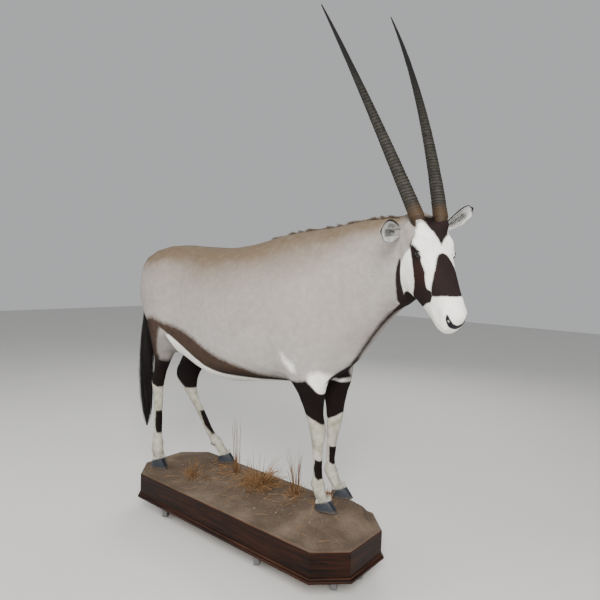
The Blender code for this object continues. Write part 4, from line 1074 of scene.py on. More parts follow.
@dataclass
class Ear:
    """One cupped ear: root in the head's frame, its way and opening in the animal's."""

    side: Side
    way: Vector
    opens: Vector
    root: Vector = field(default_factory=lambda: Vector((-0.120, 0.072, -0.020)))
    length: float = 0.172
    width: float = 0.072
    root_curl: float = math.radians(84)
    tip_curl: float = math.radians(34)
    droop: float = 0.0
    rows: int = 22
    columns: int = 17

    def axes(self) -> tuple[np.ndarray, np.ndarray, np.ndarray, np.ndarray]:
        """Root, length, opening and width directions in the world."""
        turn = ANIMAL.to_3x3()
        root = HEAD @ (self.root * Vector((1, self.side.value, 1)))
        along = (turn @ self.way).normalized()
        out = turn @ self.opens
        out = (out - out.dot(along) * along).normalized()
        return tuple(np.array(v) for v in (root, along, out, along.cross(out)))

    def surface(self, t: float, s: float, lift: float) -> np.ndarray:
        """Point of the leaf, t from root to tip and s from edge to edge."""
        root, along, out, across = self.axes()
        half = 0.5 * self.width * (0.40 + 1.38 * t) * math.sqrt(max(1.0 - t ** 3.2, 0.0))
        half = max(half, 0.0012)
        curl = self.root_curl + (self.tip_curl - self.root_curl) * t
        radius = half / curl
        bend = s * curl
        roll = 0.10 * half * max(abs(s) - 0.75, 0.0) * 4
        inward = radius - lift
        place = root + along * (self.length * t) + across * (inward * math.sin(bend))
        place = place + out * (radius - inward * math.cos(bend) - roll)
        place = place + across * (self.side.value * self.droop * t * t)
        return place + out * (0.012 * t * t) - along * (0.006 * s * s * t)

    def build(self) -> bpy.types.Object:
        """Closed leaf with its inner and outer faces marked."""
        points, inner, along, across = [], [], [], []
        for face in (0, 1):
            for i in range(self.rows):
                t = (i / (self.rows - 1)) ** 0.9
                for j in range(self.columns):
                    s = 2 * j / (self.columns - 1) - 1
                    ridge = 0.0016 * math.cos(s * 7.5) * math.sin(min(t * 1.3, 1.0) * math.pi)
                    lift = 0.0 if face == 0 else 0.0032 * (1 - 0.7 * abs(s)) * (1 - 0.6 * t) + (
                        max(ridge, 0.0) + 0.0005)
                    points.append(self.surface(t, s, lift))
                    inner.append(face)
                    along.append(t)
                    across.append(s)
        size = self.rows * self.columns
        faces = []
        for i in range(self.rows - 1):
            for j in range(self.columns - 1):
                a = i * self.columns + j
                quad = (a, a + 1, a + 1 + self.columns, a + self.columns)
                faces += [quad, tuple(size + k for k in quad[::-1])]
        border = [j for j in range(self.columns)]
        border += [i * self.columns + self.columns - 1 for i in range(1, self.rows)]
        border += [(self.rows - 1) * self.columns + j for j in range(self.columns - 2, -1, -1)]
        border += [i * self.columns for i in range(self.rows - 2, 0, -1)]
        for a, b in zip(border, border[1:] + border[:1]):
            faces.append((a, a + size, b + size, b))
        leaf = Bench.new(f"{self.side.name.lower()}_ear", np.array(points), faces)
        for name, values in (("inner", inner), ("along", along), ("across", across)):
            Bench.attribute(leaf, name, np.array(values, float))
        Bench.outward(leaf)
        Bench.subdivide(leaf, 1)
        Bench.smooth(leaf)
        return leaf

    def build_fringe(self, count: int, seed: int) -> bpy.types.Object:
        """Long pale hairs inside the ear."""
        rng = np.random.default_rng(seed)
        _, along, out, across = self.axes()
        paths = []
        for _ in range(count):
            t, s = rng.uniform(0.12, 0.72), rng.uniform(-0.95, 0.95)
            start = self.surface(t, s, 0.003)
            lean = along * rng.uniform(0.6, 1.0) + out * rng.uniform(0.05, 0.35)
            lean = lean - across * s * rng.uniform(0.1, 0.5)
            length = rng.uniform(0.014, 0.030)
            steps = np.linspace(0, 1, 5)[:, None]
            paths.append(start + lean * length * steps - out * 0.3 * length * steps ** 2)
        shade = rng.uniform(0.3, 1.0, count)
        return Strands(f"{self.side.name.lower()}_ear_fringe", np.array(paths),
                       np.full(count, 0.0003), shade).build()


@dataclass
class Skin:
    """The furred skin, from the CAD hide: refined, modelled and marked."""

    eye: Eye
    ears: tuple[Ear, Ear]
    marks: Marks = field(default_factory=Marks)
    voxel: float = 0.006
    ear_cut: float = 0.030
    most_triangles: int = 192000
    bumps: tuple[Bump, ...] = (
        Bump((0.27, 0.19, 1.14), (0.10, 0.09, 0.17), 0.010),
        Bump((0.41, 0.14, 1.00), (0.07, 0.07, 0.09), 0.012),
        Bump((0.30, 0.17, 0.90), (0.06, 0.06, 0.07), 0.010),
        Bump((0.17, 0.21, 1.02), (0.05, 0.08, 0.16), -0.007),
        Bump((-0.47, 0.15, 1.31), (0.07, 0.06, 0.06), 0.012),
        Bump((-0.36, 0.20, 1.17), (0.08, 0.08, 0.13), -0.013),
        Bump((-0.58, 0.17, 1.12), (0.10, 0.08, 0.14), 0.009),
        Bump((-0.44, 0.19, 1.00), (0.07, 0.06, 0.08), 0.014),
        Bump((-0.69, 0.08, 1.25), (0.04, 0.05, 0.06), 0.008),
        Bump((-0.50, 0.16, 0.88), (0.05, 0.05, 0.09), 0.006),
        Bump((0.50, 0.10, 1.15), (0.10, 0.06, 0.09), -0.006),
        Bump((0.60, 0.09, 1.30), (0.11, 0.06, 0.06), 0.006),
        Bump((0.38, 0.02, 0.86), (0.10, 0.05, 0.06), -0.008),
        Bump((0.48, 0.00, 0.93), (0.06, 0.06, 0.06), 0.010),
    )

    def build(self) -> bpy.types.Object:
        """The whole skin.

        Returns:
            The furred piece that stands for the hide node.
        """
        skin = Bench.copy_node("hide", "fur_hide")
        self.cut_ears(skin)
        plugs = [self.ball(HEAD @ (self.eye.place * Vector((1, s, 1))), self.eye.radius + 0.0018)
                 for s in (1, -1)]
        Bench.subdivide(skin, 1)
        skin = Bench.join("fur_hide", [skin, *plugs])
        Bench.modify(skin, "REMESH", mode="VOXEL", voxel_size=self.voxel, adaptivity=0.0)
        self.relax(skin)
        self.refine(skin, lambda head: (head[:, 0] > -0.12) & (head[:, 0] < 0.36)
                    & (np.abs(head[:, 1]) < 0.14) & (head[:, 2] > -0.21) & (head[:, 2] < 0.14))
        self.soften(skin, 3)
        self.refine(skin, self.fine_places)
        self.soften(skin, 2)
        self.model(skin)
        self.thin_out(skin)
        self.paint(skin)
        Bench.smooth(skin)
        return skin

    @staticmethod
    def ball(place: Vector, radius: float) -> bpy.types.Object:
        """Plain ball that is fused into the skin."""
        bpy.ops.object.select_all(action="DESELECT")
        bpy.ops.mesh.primitive_uv_sphere_add(segments=28, ring_count=18, radius=radius,
                                             location=place)
        return Bench.settle(bpy.context.view_layer.objects.active)

    def cut_ears(self, skin: bpy.types.Object) -> None:
        """Take the plain ears off and close the skin where they stood."""
        points = Bench.points(skin)
        gone = np.zeros(len(points), bool)
        for ear in self.ears:
            root, along, _, _ = ear.axes()
            to = points - root
            run = to @ along
            aside = np.linalg.norm(to - run[:, None] * along, axis=1)
            gone |= (run > self.ear_cut) & (aside < 0.07)
        Bench.activate(skin)
        for vertex, flag in zip(skin.data.vertices, gone):
            vertex.select = bool(flag)
        bpy.ops.object.mode_set(mode="EDIT")
        bpy.ops.mesh.select_mode(type="VERT")
        bpy.ops.object.mode_set(mode="OBJECT")
        for edge in skin.data.edges:
            edge.select = False
        for face in skin.data.polygons:
            face.select = False
        for vertex, flag in zip(skin.data.vertices, gone):
            vertex.select = bool(flag)
        bpy.ops.object.mode_set(mode="EDIT")
        bpy.ops.mesh.delete(type="VERT")
        bpy.ops.mesh.select_non_manifold(extend=False, use_wire=False, use_multi_face=False,
                                         use_non_contiguous=False, use_verts=False)
        bpy.ops.mesh.fill(use_beauty=True)
        bpy.ops.mesh.select_all(action="SELECT")
        bpy.ops.mesh.normals_make_consistent(inside=False)
        bpy.ops.object.mode_set(mode="OBJECT")

    @staticmethod
    def relax(skin: bpy.types.Object) -> None:
        """Smooth the facets away: fully on the body, gently on thin limbs and the head."""
        points = Bench.points(skin)
        body, head = local(points, ANIMAL), local(points, HEAD)
        above = ease(body[:, 2], 0.68, 0.90)
        off_head = ease(np.linalg.norm(head - (0.05, 0, 0), axis=1), 0.17, 0.30)
        off_tail = ease(body[:, 0], -0.775, -0.71)
        Bench.weights(skin, "soft", np.maximum(np.minimum(np.minimum(above, off_head), off_tail), 0))
        Bench.modify(skin, "SMOOTH", factor=0.5, iterations=60, vertex_group="soft")
        Bench.modify(skin, "SMOOTH", factor=0.5, iterations=5)
        skin.vertex_groups.clear()

    @staticmethod
    def soften(skin: bpy.types.Object, steps: int) -> None:
        """A few even smoothing steps."""
        Bench.modify(skin, "SMOOTH", factor=0.5, iterations=steps)

    def thin_out(self, skin: bpy.types.Object) -> None:
        """Collapse faces that plain fur doesn't need, but not at the marks' edges or the lids."""
        points = Bench.points(skin)
        body, head = local(points, ANIMAL), local(points, HEAD)
        edge = np.minimum(np.abs(self.marks.dark(body, head)), np.abs(self.marks.white(body, head)))
        folded = fold(head)
        from_eye = np.linalg.norm(folded - np.array(self.eye.place), axis=1)
        Bench.weights(skin, "plain", ease(edge, 0.002, 0.022) * ease(from_eye, 0.026, 0.036))
        count = sum(len(face.vertices) - 2 for face in skin.data.polygons)
        Bench.modify(skin, "DECIMATE", ratio=self.most_triangles / count, vertex_group="plain")
        skin.vertex_groups.clear()

    def fine_places(self, head: np.ndarray) -> np.ndarray:
        """Points round the eyes, the nostrils and the mouth."""
        folded = fold(head)
        at_eye = np.linalg.norm(folded - np.array(self.eye.place), axis=1) < 0.034
        at_nose = (head[:, 0] > 0.205) & (head[:, 0] < 0.36) & (head[:, 2] > -0.10)
        return at_eye | at_nose

    @staticmethod
    def refine(skin: bpy.types.Object, wanted: Callable[[np.ndarray], np.ndarray]) -> None:
        """Split the faces whose corners all lie in a wanted place."""
        flags = wanted(local(Bench.points(skin), HEAD))
        Bench.activate(skin)
        for face in skin.data.polygons:
            face.select = bool(flags[list(face.vertices)].all())
        bpy.ops.object.mode_set(mode="EDIT")
        bpy.ops.mesh.select_mode(type="FACE")
        bpy.ops.object.mode_set(mode="OBJECT")
        for face in skin.data.polygons:
            face.select = bool(flags[list(face.vertices)].all())
        bpy.ops.object.mode_set(mode="EDIT")
        bpy.ops.mesh.subdivide(number_cuts=1, smoothness=0.0)
        bpy.ops.object.mode_set(mode="OBJECT")

    def model(self, skin: bpy.types.Object) -> None:
        """Muscles, eyelids, nostrils and mouth."""
        points = Bench.points(skin)
        normals = Bench.normals(skin)
        body = local(points, ANIMAL)
        rise = np.zeros(len(points))
        for bump in self.bumps:
            for side in (1, -1):
                if side == -1 and abs(bump.place[1]) < 0.03:
                    continue
                to = (body - np.array(bump.place) * (1, side, 1)) / np.array(bump.size)
                rise += bump.rise * np.exp(-(to ** 2).sum(1))
        ribs = ease(body[:, 0], -0.30, -0.15) * (1 - ease(body[:, 0], 0.05, 0.18))
        ribs *= ease(body[:, 2], 0.86, 0.96) * (1 - ease(body[:, 2], 1.12, 1.26))
        rise += 0.0009 * ribs * np.sin((body[:, 0] + 0.35 * body[:, 2]) * 150)
        tendon = ease(body[:, 2], 0.38, 0.42) * (1 - ease(body[:, 2], 0.52, 0.58))
        turn = np.arctan2(normals @ np.array(ANIMAL.to_3x3())[:, 0], np.abs(normals[:, 1]))
        rise += tendon * (0.0016 * np.exp(-((turn + 0.75) / 0.35) ** 2)
                          - 0.0030 * np.exp(-((turn + 0.15) / 0.30) ** 2))
        rise += self.leg_rise(body)
        points = points + normals * rise[:, None]
        head = local(points, HEAD)
        points = points + normals * self.face_rise(head)[:, None]
        for side in (Side.LEFT, Side.RIGHT):
            points = self.open_lids(points, side)
        wander = np.array([noise.noise(Vector(p) * 22.0) + 0.5 * noise.noise(Vector(p) * 60.0)
                           for p in points])
        points = points + normals * (wander * 0.0009)[:, None]
        Bench.place(skin, points)

    @staticmethod
    def leg_rise(body: np.ndarray) -> np.ndarray:
        """Extra flesh and fur of fetlocks and pasterns, and the flare over each hoof."""
        rise = np.zeros(len(body))
        for hoof in HOOVES:
            to = body - np.array(hoof.coronet)
            near = np.hypot(to[:, 0], to[:, 1])
            on_leg = (near < 0.075) & (to[:, 2] < 0.12)
            flare = np.exp(-(to[:, 2] / 0.016) ** 2) * 0.0042
            fetlock = np.exp(-((to[:, 2] - 0.070) / 0.020) ** 2) * 0.0042
            pastern = np.exp(-((to[:, 2] - 0.032) / 0.022) ** 2) * 0.0012
            rise += on_leg * (flare + fetlock + pastern)
        return rise

    def face_rise(self, head: np.ndarray) -> np.ndarray:
        """How far each point of the head moves out: cheek, lips, nostrils and mouth."""
        folded = fold(head)
        ahead = head[:, 0] > -0.14

        def dome(place: Sequence[float], size: Sequence[float], rise: float) -> np.ndarray:
            return rise * np.exp(-(((folded - place) / size) ** 2).sum(1))

        rise = dome((0.045, 0.062, -0.030), (0.060, 0.03, 0.030), 0.004)
        rise += dome((0.09, 0.055, -0.075), (0.05, 0.03, 0.028), -0.004)
        rise += dome((0.02, 0.070, -0.10), (0.05, 0.03, 0.04), 0.004)
        rise += dome((-0.012, 0.060, 0.046), (0.035, 0.020, 0.014), 0.005)
        rise += dome((-0.108, 0.046, 0.062), (0.022, 0.028, 0.030), -0.006)
        rise += dome((0.06, 0.050, 0.012), (0.020, 0.02, 0.016), -0.003)
        rise += dome((0.226, 0.042, 0.006), (0.020, 0.014, 0.016), 0.005)
        rise += dome((0.205, 0.040, -0.045), (0.035, 0.02, 0.016), 0.003)
        rise += dome((0.235, 0.0, -0.080), (0.030, 0.03, 0.014), 0.003)
        nostril = stroke(folded, ((0.232, 0.045, 0.014, 0.004), (0.246, 0.040, 0.004, 0.006),
                                  (0.252, 0.030, -0.004, 0.004)))
        rise -= 0.010 * ease(nostril, -0.003, 0.004)
        mouth = stroke(folded, ((0.280, 0.0, -0.042, 0.002), (0.262, 0.030, -0.046, 0.002),
                                (0.225, 0.046, -0.052, 0.002), (0.180, 0.050, -0.058, 0.001)))
        rise -= 0.0045 * ease(mouth, -0.005, 0.001)
        middle = stroke(folded, ((0.270, 0.0, -0.002, 0.001), (0.276, 0.0, -0.036, 0.001)))
        rise -= 0.0025 * ease(middle, -0.004, 0.0)
        return rise * ahead

    def open_lids(self, points: np.ndarray, side: Side) -> np.ndarray:
        """Bring the skin over the eyeball and open it between the lids."""
        own = self.eye.in_eye(points, side)
        away = np.linalg.norm(own, axis=1)
        flat = np.hypot(own[:, 0] / self.eye.half_length, own[:, 1] / self.eye.half_height)
        near = (away < 0.034) & (own[:, 2] > 0.0)
        lid = self.eye.radius + 0.0022
        target = np.where(flat < 1.0, self.eye.radius - 0.0045, lid)
        pull = np.where(flat < 1.0, 1.0, 1.0 - ease(flat, 1.5, 2.4))
        pull = np.where(near & (away > 1e-6), pull, 0.0)
        crease = 0.0022 * np.exp(-((flat - 2.0) / 0.25) ** 2) * (own[:, 1] > 0) * near
        wanted = away + (target - away) * pull - crease
        centre = np.array(self.eye.axes(side)[0])
        return np.where(near[:, None], centre + (points - centre) * (wanted / away)[:, None], points)

    def paint(self, skin: bpy.types.Object) -> None:
        """Store the marks, and the painted shade on the back, on the skin's points."""
        points = Bench.points(skin)
        body, head = local(points, ANIMAL), local(points, HEAD)
        folded = fold(head)
        Bench.attribute(skin, "dark", np.clip(self.marks.dark(body, head), -0.05, 0.05))
        Bench.attribute(skin, "white", np.clip(self.marks.white(body, head), -0.05, 0.05))
        pale = np.max([ease(patch.depth(body), -0.012, 0.015) for patch in self.marks.gaskin], 0)
        low_side = (1 - ease(body[:, 2], 0.86, 1.12)) * 0.35
        neck = ease(body[:, 0], 0.45, 0.7) * (1 - ease(body[:, 2], 1.25, 1.42)) * 0.25
        inside_leg = (1 - ease(np.abs(body[:, 1]), 0.06, 0.12)) * (1 - ease(body[:, 2], 0.9, 1.0))
        Bench.attribute(skin, "pale", np.maximum.reduce([pale * 0.5, low_side, neck,
                                                         inside_leg * 0.8]))
        Bench.attribute(skin, "thin", pale * 0.9)
        low_front = (1 - ease(body[:, 2], 0.79, 0.85)) * ease(body[:, 0], 0.22, 0.30)
        Bench.attribute(skin, "crisp", np.maximum(low_front, ease(self.marks.belly.depth(body),
                                                                 -0.022, -0.002)))
        # Back mark: the coat's own fawn along the crest, plus painted shade wherever the skin faces up,
        # high on the body.
        crest = np.maximum(0.55 * ease(body[:, 2], 1.18, 1.36) * (1 - ease(body[:, 0], 0.1, 0.4)),
                           ease(Bench.normals(skin)[:, 2], 0.05, 0.75))
        Bench.attribute(skin, "back", crest * ease(body[:, 2], 1.00, 1.25)
                        * ease(head[:, 0], -0.10, -0.20))
        on_face = 1 - ease(np.linalg.norm(head - (0.06, 0, -0.03), axis=1), 0.22, 0.27)
        Bench.attribute(skin, "face", on_face * ease(head[:, 0], -0.11, -0.08))
        flank = ease(body[:, 2], 0.765, 0.82) * (1 - ease(body[:, 0], 0.12, 0.30))
        Bench.attribute(skin, "flank", flank * ease(body[:, 0], -0.62, -0.50))
        warm = ease(body[:, 2], 0.80, 0.90) * (1 - ease(body[:, 2], 1.1, 1.2)) * 0.5
        cheek = np.exp(-(((folded - (0.06, 0.06, -0.03)) / (0.05, 0.05, 0.05)) ** 2).sum(1))
        Bench.attribute(skin, "warm", np.maximum(warm, cheek * 0.9))
        Bench.attribute(skin, "soot", np.clip(stroke(body, self.marks.croup), -0.05, 0.05))
        bare = np.max([stroke(folded, self.marks.nose_pad),
                       stroke(folded, ((0.262, 0.030, -0.046, 0.0012),
                                       (0.225, 0.046, -0.052, 0.001)))], 0)
        Bench.attribute(skin, "bare", np.clip(bare, -0.05, 0.05))


# Horns, hooves and hair


@dataclass
class Horn:
    """One ringed horn on the CAD horn's axis."""

    side: Side
    root: Vector = field(default_factory=lambda: Vector((-0.1216, 0.0465, 0.0608)))
    run: Vector = field(default_factory=lambda: Vector((-1.086, 0.175, 0.1834)))
    bend: Vector = field(default_factory=lambda: Vector((-0.009, -0.0565, -0.109)))
    root_radius: float = 0.0255
    tip_radius: float = 0.0022
    taper: float = 0.86
    ringed: float = 0.62
    rings: int = 50
    seat: float = 0.032
    sink: Vector = field(default_factory=lambda: Vector((0.0, -10.0, -20.0)))
    sides: int = 32
    levels: int = 620

    def point(self, t: float) -> Vector:
        """Axis point, t from 0 at the skin to 1 at the tip."""
        place = self.root + self.run * t + self.bend * (t * t)
        if t < 0:
            place += self.sink * (t * t)
        return HEAD @ (place * Vector((1, self.side.value, 1)))

    def ridge(self, t: float) -> float:
        """Ring profile from 0 in a hollow to 1 on a ridge; closer near the root."""
        if t < 0 or t > self.ringed * 1.08:
            return 0.0
        turn = (t / self.ringed) ** 0.86 * self.rings
        saw = turn % 1.0
        height = 0.72 + 0.28 * noise.noise(Vector((0.0, 0.0, math.floor(turn) * 3.7)))
        return height * math.sin(math.pi * saw) ** 0.7 * (1.0 - (t / (self.ringed * 1.08)) ** 3)

    def build(self) -> bpy.types.Object:
        """Horn with its rings, swollen fibrous root and polished point."""
        ahead = HEAD.to_3x3() @ Vector((0, 0, 1))
        shares = np.linspace(-self.seat / self.run.length, 1.0, self.levels)
        points, along, rings = [], [], []
        for t in shares:
            way = (self.point(t + 0.001) - self.point(t - 0.001)).normalized()
            one = (ahead - ahead.dot(way) * way).normalized()
            two = way.cross(one)
            cone = self.tip_radius + (self.root_radius - self.tip_radius) * (
                1 - min(max(t, 0.0), 1.0)) ** self.taper
            cone *= 1.0 + min(t, 0.0) / 0.10
            cone *= 1.0 if t < 0.985 else 0.5 + 0.5 * math.cos((t - 0.985) / 0.015 * 1.35)
            for j in range(self.sides):
                angle = 2 * math.pi * j / self.sides
                place = self.point(t) + (one * math.cos(angle) + two * math.sin(angle)) * cone
                wobble = noise.noise(place * 55.0)
                ring = self.ridge(t + 0.0030 * math.cos(angle) + 0.0022 * wobble)
                root = 0.45 + 0.55 * min(max(t, 0.0) / 0.05, 1.0)
                depth = 0.0035 * (1.0 - 0.50 * max(t, 0) / self.ringed) * root * (
                    0.75 + 0.25 * math.cos(angle))
                grow = (ring - 0.45) * depth if 0 <= t <= self.ringed * 1.1 else 0.0
                place += (one * math.cos(angle) + two * math.sin(angle)) * (
                    grow + 0.0006 * wobble * (1 - max(t, 0)))
                points.append(place)
                along.append(t)
                rings.append(ring)
        faces = []
        for i in range(self.levels - 1):
            for j in range(self.sides):
                k = (j + 1) % self.sides
                faces.append((i * self.sides + j, i * self.sides + k,
                              (i + 1) * self.sides + k, (i + 1) * self.sides + j))
        faces.append(tuple(range(self.sides))[::-1])
        faces.append(tuple((self.levels - 1) * self.sides + j for j in range(self.sides)))
        horn = Bench.new(f"{self.side.name.lower()}_ringed_horn", np.array(points), faces)
        Bench.attribute(horn, "along", np.array(along))
        Bench.attribute(horn, "ring", np.array(rings))
        Bench.outward(horn)
        Bench.smooth(horn, 70)
        return horn


@dataclass(frozen=True)
class Hoof:
    """One cloven hoof: coronet in the animal's frame and the toe's heading in degrees."""

    leg: str
    coronet: tuple[float, float, float]
    heading: float
    bevel: float = 0.0022
    toe: float = 0.068
    toe_in: float = 0.62
    slope: float = math.tan(math.radians(16))

    @property
    def place(self) -> Matrix:
        """The hoof's frame in the world, x to the toe."""
        return (ANIMAL @ Matrix.Translation(self.coronet)
                @ Matrix.Rotation(math.radians(self.heading), 4, "Z"))

    def build_claw(self, half: str) -> tuple[bpy.types.Object, str]:
        """One claw with its toe drawn in to its twin, and the node that it stands for."""
        node = f"{self.leg}_{half}_claw"
        claw = Bench.copy_node(node, f"{node}_horn")
        Bench.modify(claw, "BEVEL", width=self.bevel, segments=2, limit_method="ANGLE",
                     angle_limit=math.radians(38))
        Bench.subdivide(claw, 2)
        points = Bench.points(claw)
        low = points[:, 2].min()
        height = (points[:, 2] - low) / (points[:, 2].max() - low)
        sole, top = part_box(node)
        points[:, 2] = sole.z + height * (top.z - sole.z)
        own = local(points, self.place)
        ahead = np.clip(own[:, 0] / self.toe, 0, 1)
        own[:, 1] = own[:, 1] * (1 - self.toe_in * ahead ** 1.6) + 0.0006 * np.sign(own[:, 1])
        own[:, 2] += 0.0035 * np.sin(ahead * math.pi) * ease(height, 0.3, 1.0)
        points = world(own, self.place)
        ripple = np.array([noise.noise(Vector((p[0] * 30, p[1] * 30, p[2] * 260)))
                           for p in points])
        points += Bench.normals(claw) * (ripple * 0.0004 * (height > 0.04))[:, None]
        Bench.place(claw, points)
        Bench.attribute(claw, "height", height)
        Bench.smooth(claw)
        return claw, node

    def fringe_roots(self, rng: np.random.Generator, count: int) -> np.ndarray:
        """Places round the coronet from which the last hairs hang, as hoof coordinates."""
        angle = rng.uniform(0, 2 * math.pi, count)
        x, y = 0.034 * np.cos(angle), 0.0335 * np.sin(angle)
        z = x * self.slope + rng.uniform(0.004, 0.020, count)
        return np.stack([x * (1 - 0.2 * (z / 0.03)), y * (1 - 0.2 * (z / 0.03)), z], 1)


HOOVES = (Hoof("right_fore", (0.424, -0.046, 0.296), -4), Hoof("left_fore", (0.416, 0.089, 0.308), 4),
          Hoof("right_hind", (-0.545, -0.114, 0.262), -4), Hoof("left_hind", (-0.326, 0.142, 0.268), 10))


@dataclass
class CoronetFringe:
    """White hair that hangs a little over the top of every hoof."""

    per_hoof: int = 1500

    def build(self) -> bpy.types.Object:
        """All four fringes as one piece."""
        rng = np.random.default_rng(17)
        paths = []
        for hoof in HOOVES:
            roots = hoof.fringe_roots(rng, self.per_hoof)
            out = roots * (1, 1, 0)
            out /= np.linalg.norm(out, axis=1, keepdims=True)
            length = rng.uniform(0.004, 0.010, self.per_hoof)[:, None, None]
            steps = np.linspace(0, 1, 4)[None, :, None]
            way = out * 0.16 + (0, 0, -1.0) + rng.normal(0, 0.09, roots.shape)
            path = roots[:, None] + way[:, None] * length * steps
            path -= out[:, None] * 0.25 * length * steps ** 2
            paths.append(world(path.reshape(-1, 3), hoof.place).reshape(path.shape))
        count = len(HOOVES) * self.per_hoof
        return Strands("coronet_fringe", np.concatenate(paths), np.full(count, 0.0003),
                       rng.uniform(0.2, 1.0, count)).build()


@dataclass
class Tail:
    """Black switch of long hair hanging from the dock."""

    envelope: Points = ((-0.784, -0.020, 1.120, 0.013), (-0.780, -0.021, 0.960, 0.028),
                        (-0.776, -0.022, 0.840, 0.039), (-0.774, -0.022, 0.700, 0.044),
                        (-0.771, -0.022, 0.560, 0.039), (-0.766, -0.022, 0.450, 0.024),
                        (-0.763, -0.022, 0.370, 0.006))
    strands: int = 1900
    core_share: float = 0.62

    def build(self) -> bpy.types.Object:
        """Switch with a dense core and loose outer hair."""
        rng = np.random.default_rng(11)
        spine = through(self.envelope, 8)
        heights = spine[::-1, 2]

        def at(z: np.ndarray) -> np.ndarray:
            return np.stack([np.interp(z, heights, spine[::-1, c]) for c in range(4)], -1)

        start = rng.uniform(0.62, 1.16, self.strands)
        length = rng.uniform(0.22, 0.42, self.strands)
        end = np.maximum(start - length, rng.uniform(0.37, 0.47, self.strands))
        share = np.linspace(0, 1, 9)
        z = start[:, None] + (end - start)[:, None] * share
        rows = at(np.clip(z, 0.37, 1.12))
        angle = rng.uniform(0, 2 * math.pi, self.strands)[:, None] + 0.5 * (share - 0.5)
        reach = rng.uniform(0.55, 1.05, self.strands)[:, None] * (0.55 + 0.45 * share)
        stray = rng.normal(0, 0.004, (self.strands, 1)) * share ** 2
        x = rows[..., 0] + rows[..., 3] * reach * np.cos(angle) + stray
        y = rows[..., 1] + rows[..., 3] * 0.9 * reach * np.sin(angle) + stray * 0.6
        paths = world(np.stack([x, y, z], -1).reshape(-1, 3), ANIMAL).reshape(self.strands, 9, 3)
        hair = Strands("tail_hair_strands", paths, rng.uniform(0.0006, 0.0011, self.strands),
                       rng.uniform(0, 1, self.strands) ** 2).build()
        rings, sides = len(spine), 18
        turn = np.arange(sides) * 2 * math.pi / sides
        core = []
        for row_x, row_y, row_z, radius in spine:
            wave = radius * self.core_share * (1 + 0.10 * np.sin(turn * 5 + row_z * 9))
            core.append(np.stack([row_x + wave * np.cos(turn), row_y + wave * 0.9 * np.sin(turn),
                                  np.full(sides, row_z)], 1))
        faces = [(i * sides + j, i * sides + (j + 1) % sides, (i + 1) * sides + (j + 1) % sides,
                  (i + 1) * sides + j) for i in range(rings - 1) for j in range(sides)]
        faces += [tuple(range(sides)), tuple((rings - 1) * sides + j for j in range(sides))]
        body = Bench.new("tail_core", world(np.concatenate(core), ANIMAL), faces)
        Bench.attribute(body, "shade", np.zeros(rings * sides))
        Bench.outward(body)
        Bench.smooth(body)
        return Bench.join("tail_switch_hair", [hair, body])


@dataclass
class Mane:
    """Short standing mane along the neck and withers, with a ridge of brown hair."""

    line: Points = ((0.03, 0.0, 1.374), (0.13, 0.0, 1.404), (0.24, 0.0, 1.428),
                    (0.330, 0.0, 1.432), (0.450, -0.006, 1.446), (0.580, -0.038, 1.466),
                    (0.690, -0.084, 1.464), (0.765, -0.112, 1.455))
    strands: int = 3600
    half_width: float = 0.013

    def build(self, skin: BVHTree) -> bpy.types.Object:
        """Hair rooted on the skin along the crest."""
        rng = np.random.default_rng(5)
        spine = through(self.line, 12)
        share = rng.uniform(0, 1, self.strands)
        row = share * (len(spine) - 1)
        base = np.stack([np.interp(row, np.arange(len(spine)), spine[:, c]) for c in range(3)], 1)
        side = rng.normal(0, self.half_width * 0.5, self.strands)
        roots = world(base + np.stack([np.zeros_like(side), side, np.full_like(side, 0.05)], 1),
                      ANIMAL)
        tuft = 0.5 + 0.5 * np.sin(share * 70 + 2.0 * np.sin(share * 23))
        paths, shades = [], []
        turn = np.array(ANIMAL.to_3x3())
        for root, lean, clump, s in zip(roots, side, tuft, share):
            hit = skin.ray_cast(Vector(root), Vector((0, 0, -1)), 0.2)[0]
            if hit is None:
                continue
            grow = min(s / 0.10, 1.0, (1 - s) / 0.04 + 0.2)
            length = rng.uniform(0.010, 0.022) * grow * (0.6 + 0.7 * clump)
            back = np.array((-rng.uniform(0.7, 1.5), lean * 14 + rng.normal(0, 0.12), 0.55))
            back = turn @ (back / np.linalg.norm(back))
            steps = np.linspace(0, 1, 5)[:, None]
            path = np.array(hit) - np.array((0, 0, 0.001)) + back * length * steps
            path = path + np.array((0, 0, 1.0)) * (0.25 * length * steps * (1 - steps))
            paths.append(path)
            shades.append(rng.uniform(0.0, 0.6) + 0.35 * (1 - clump))
        return Strands("mane_hair", np.array(paths), np.full(len(paths), 0.00075),
                       np.clip(shades, 0, 1)).build()


# Base


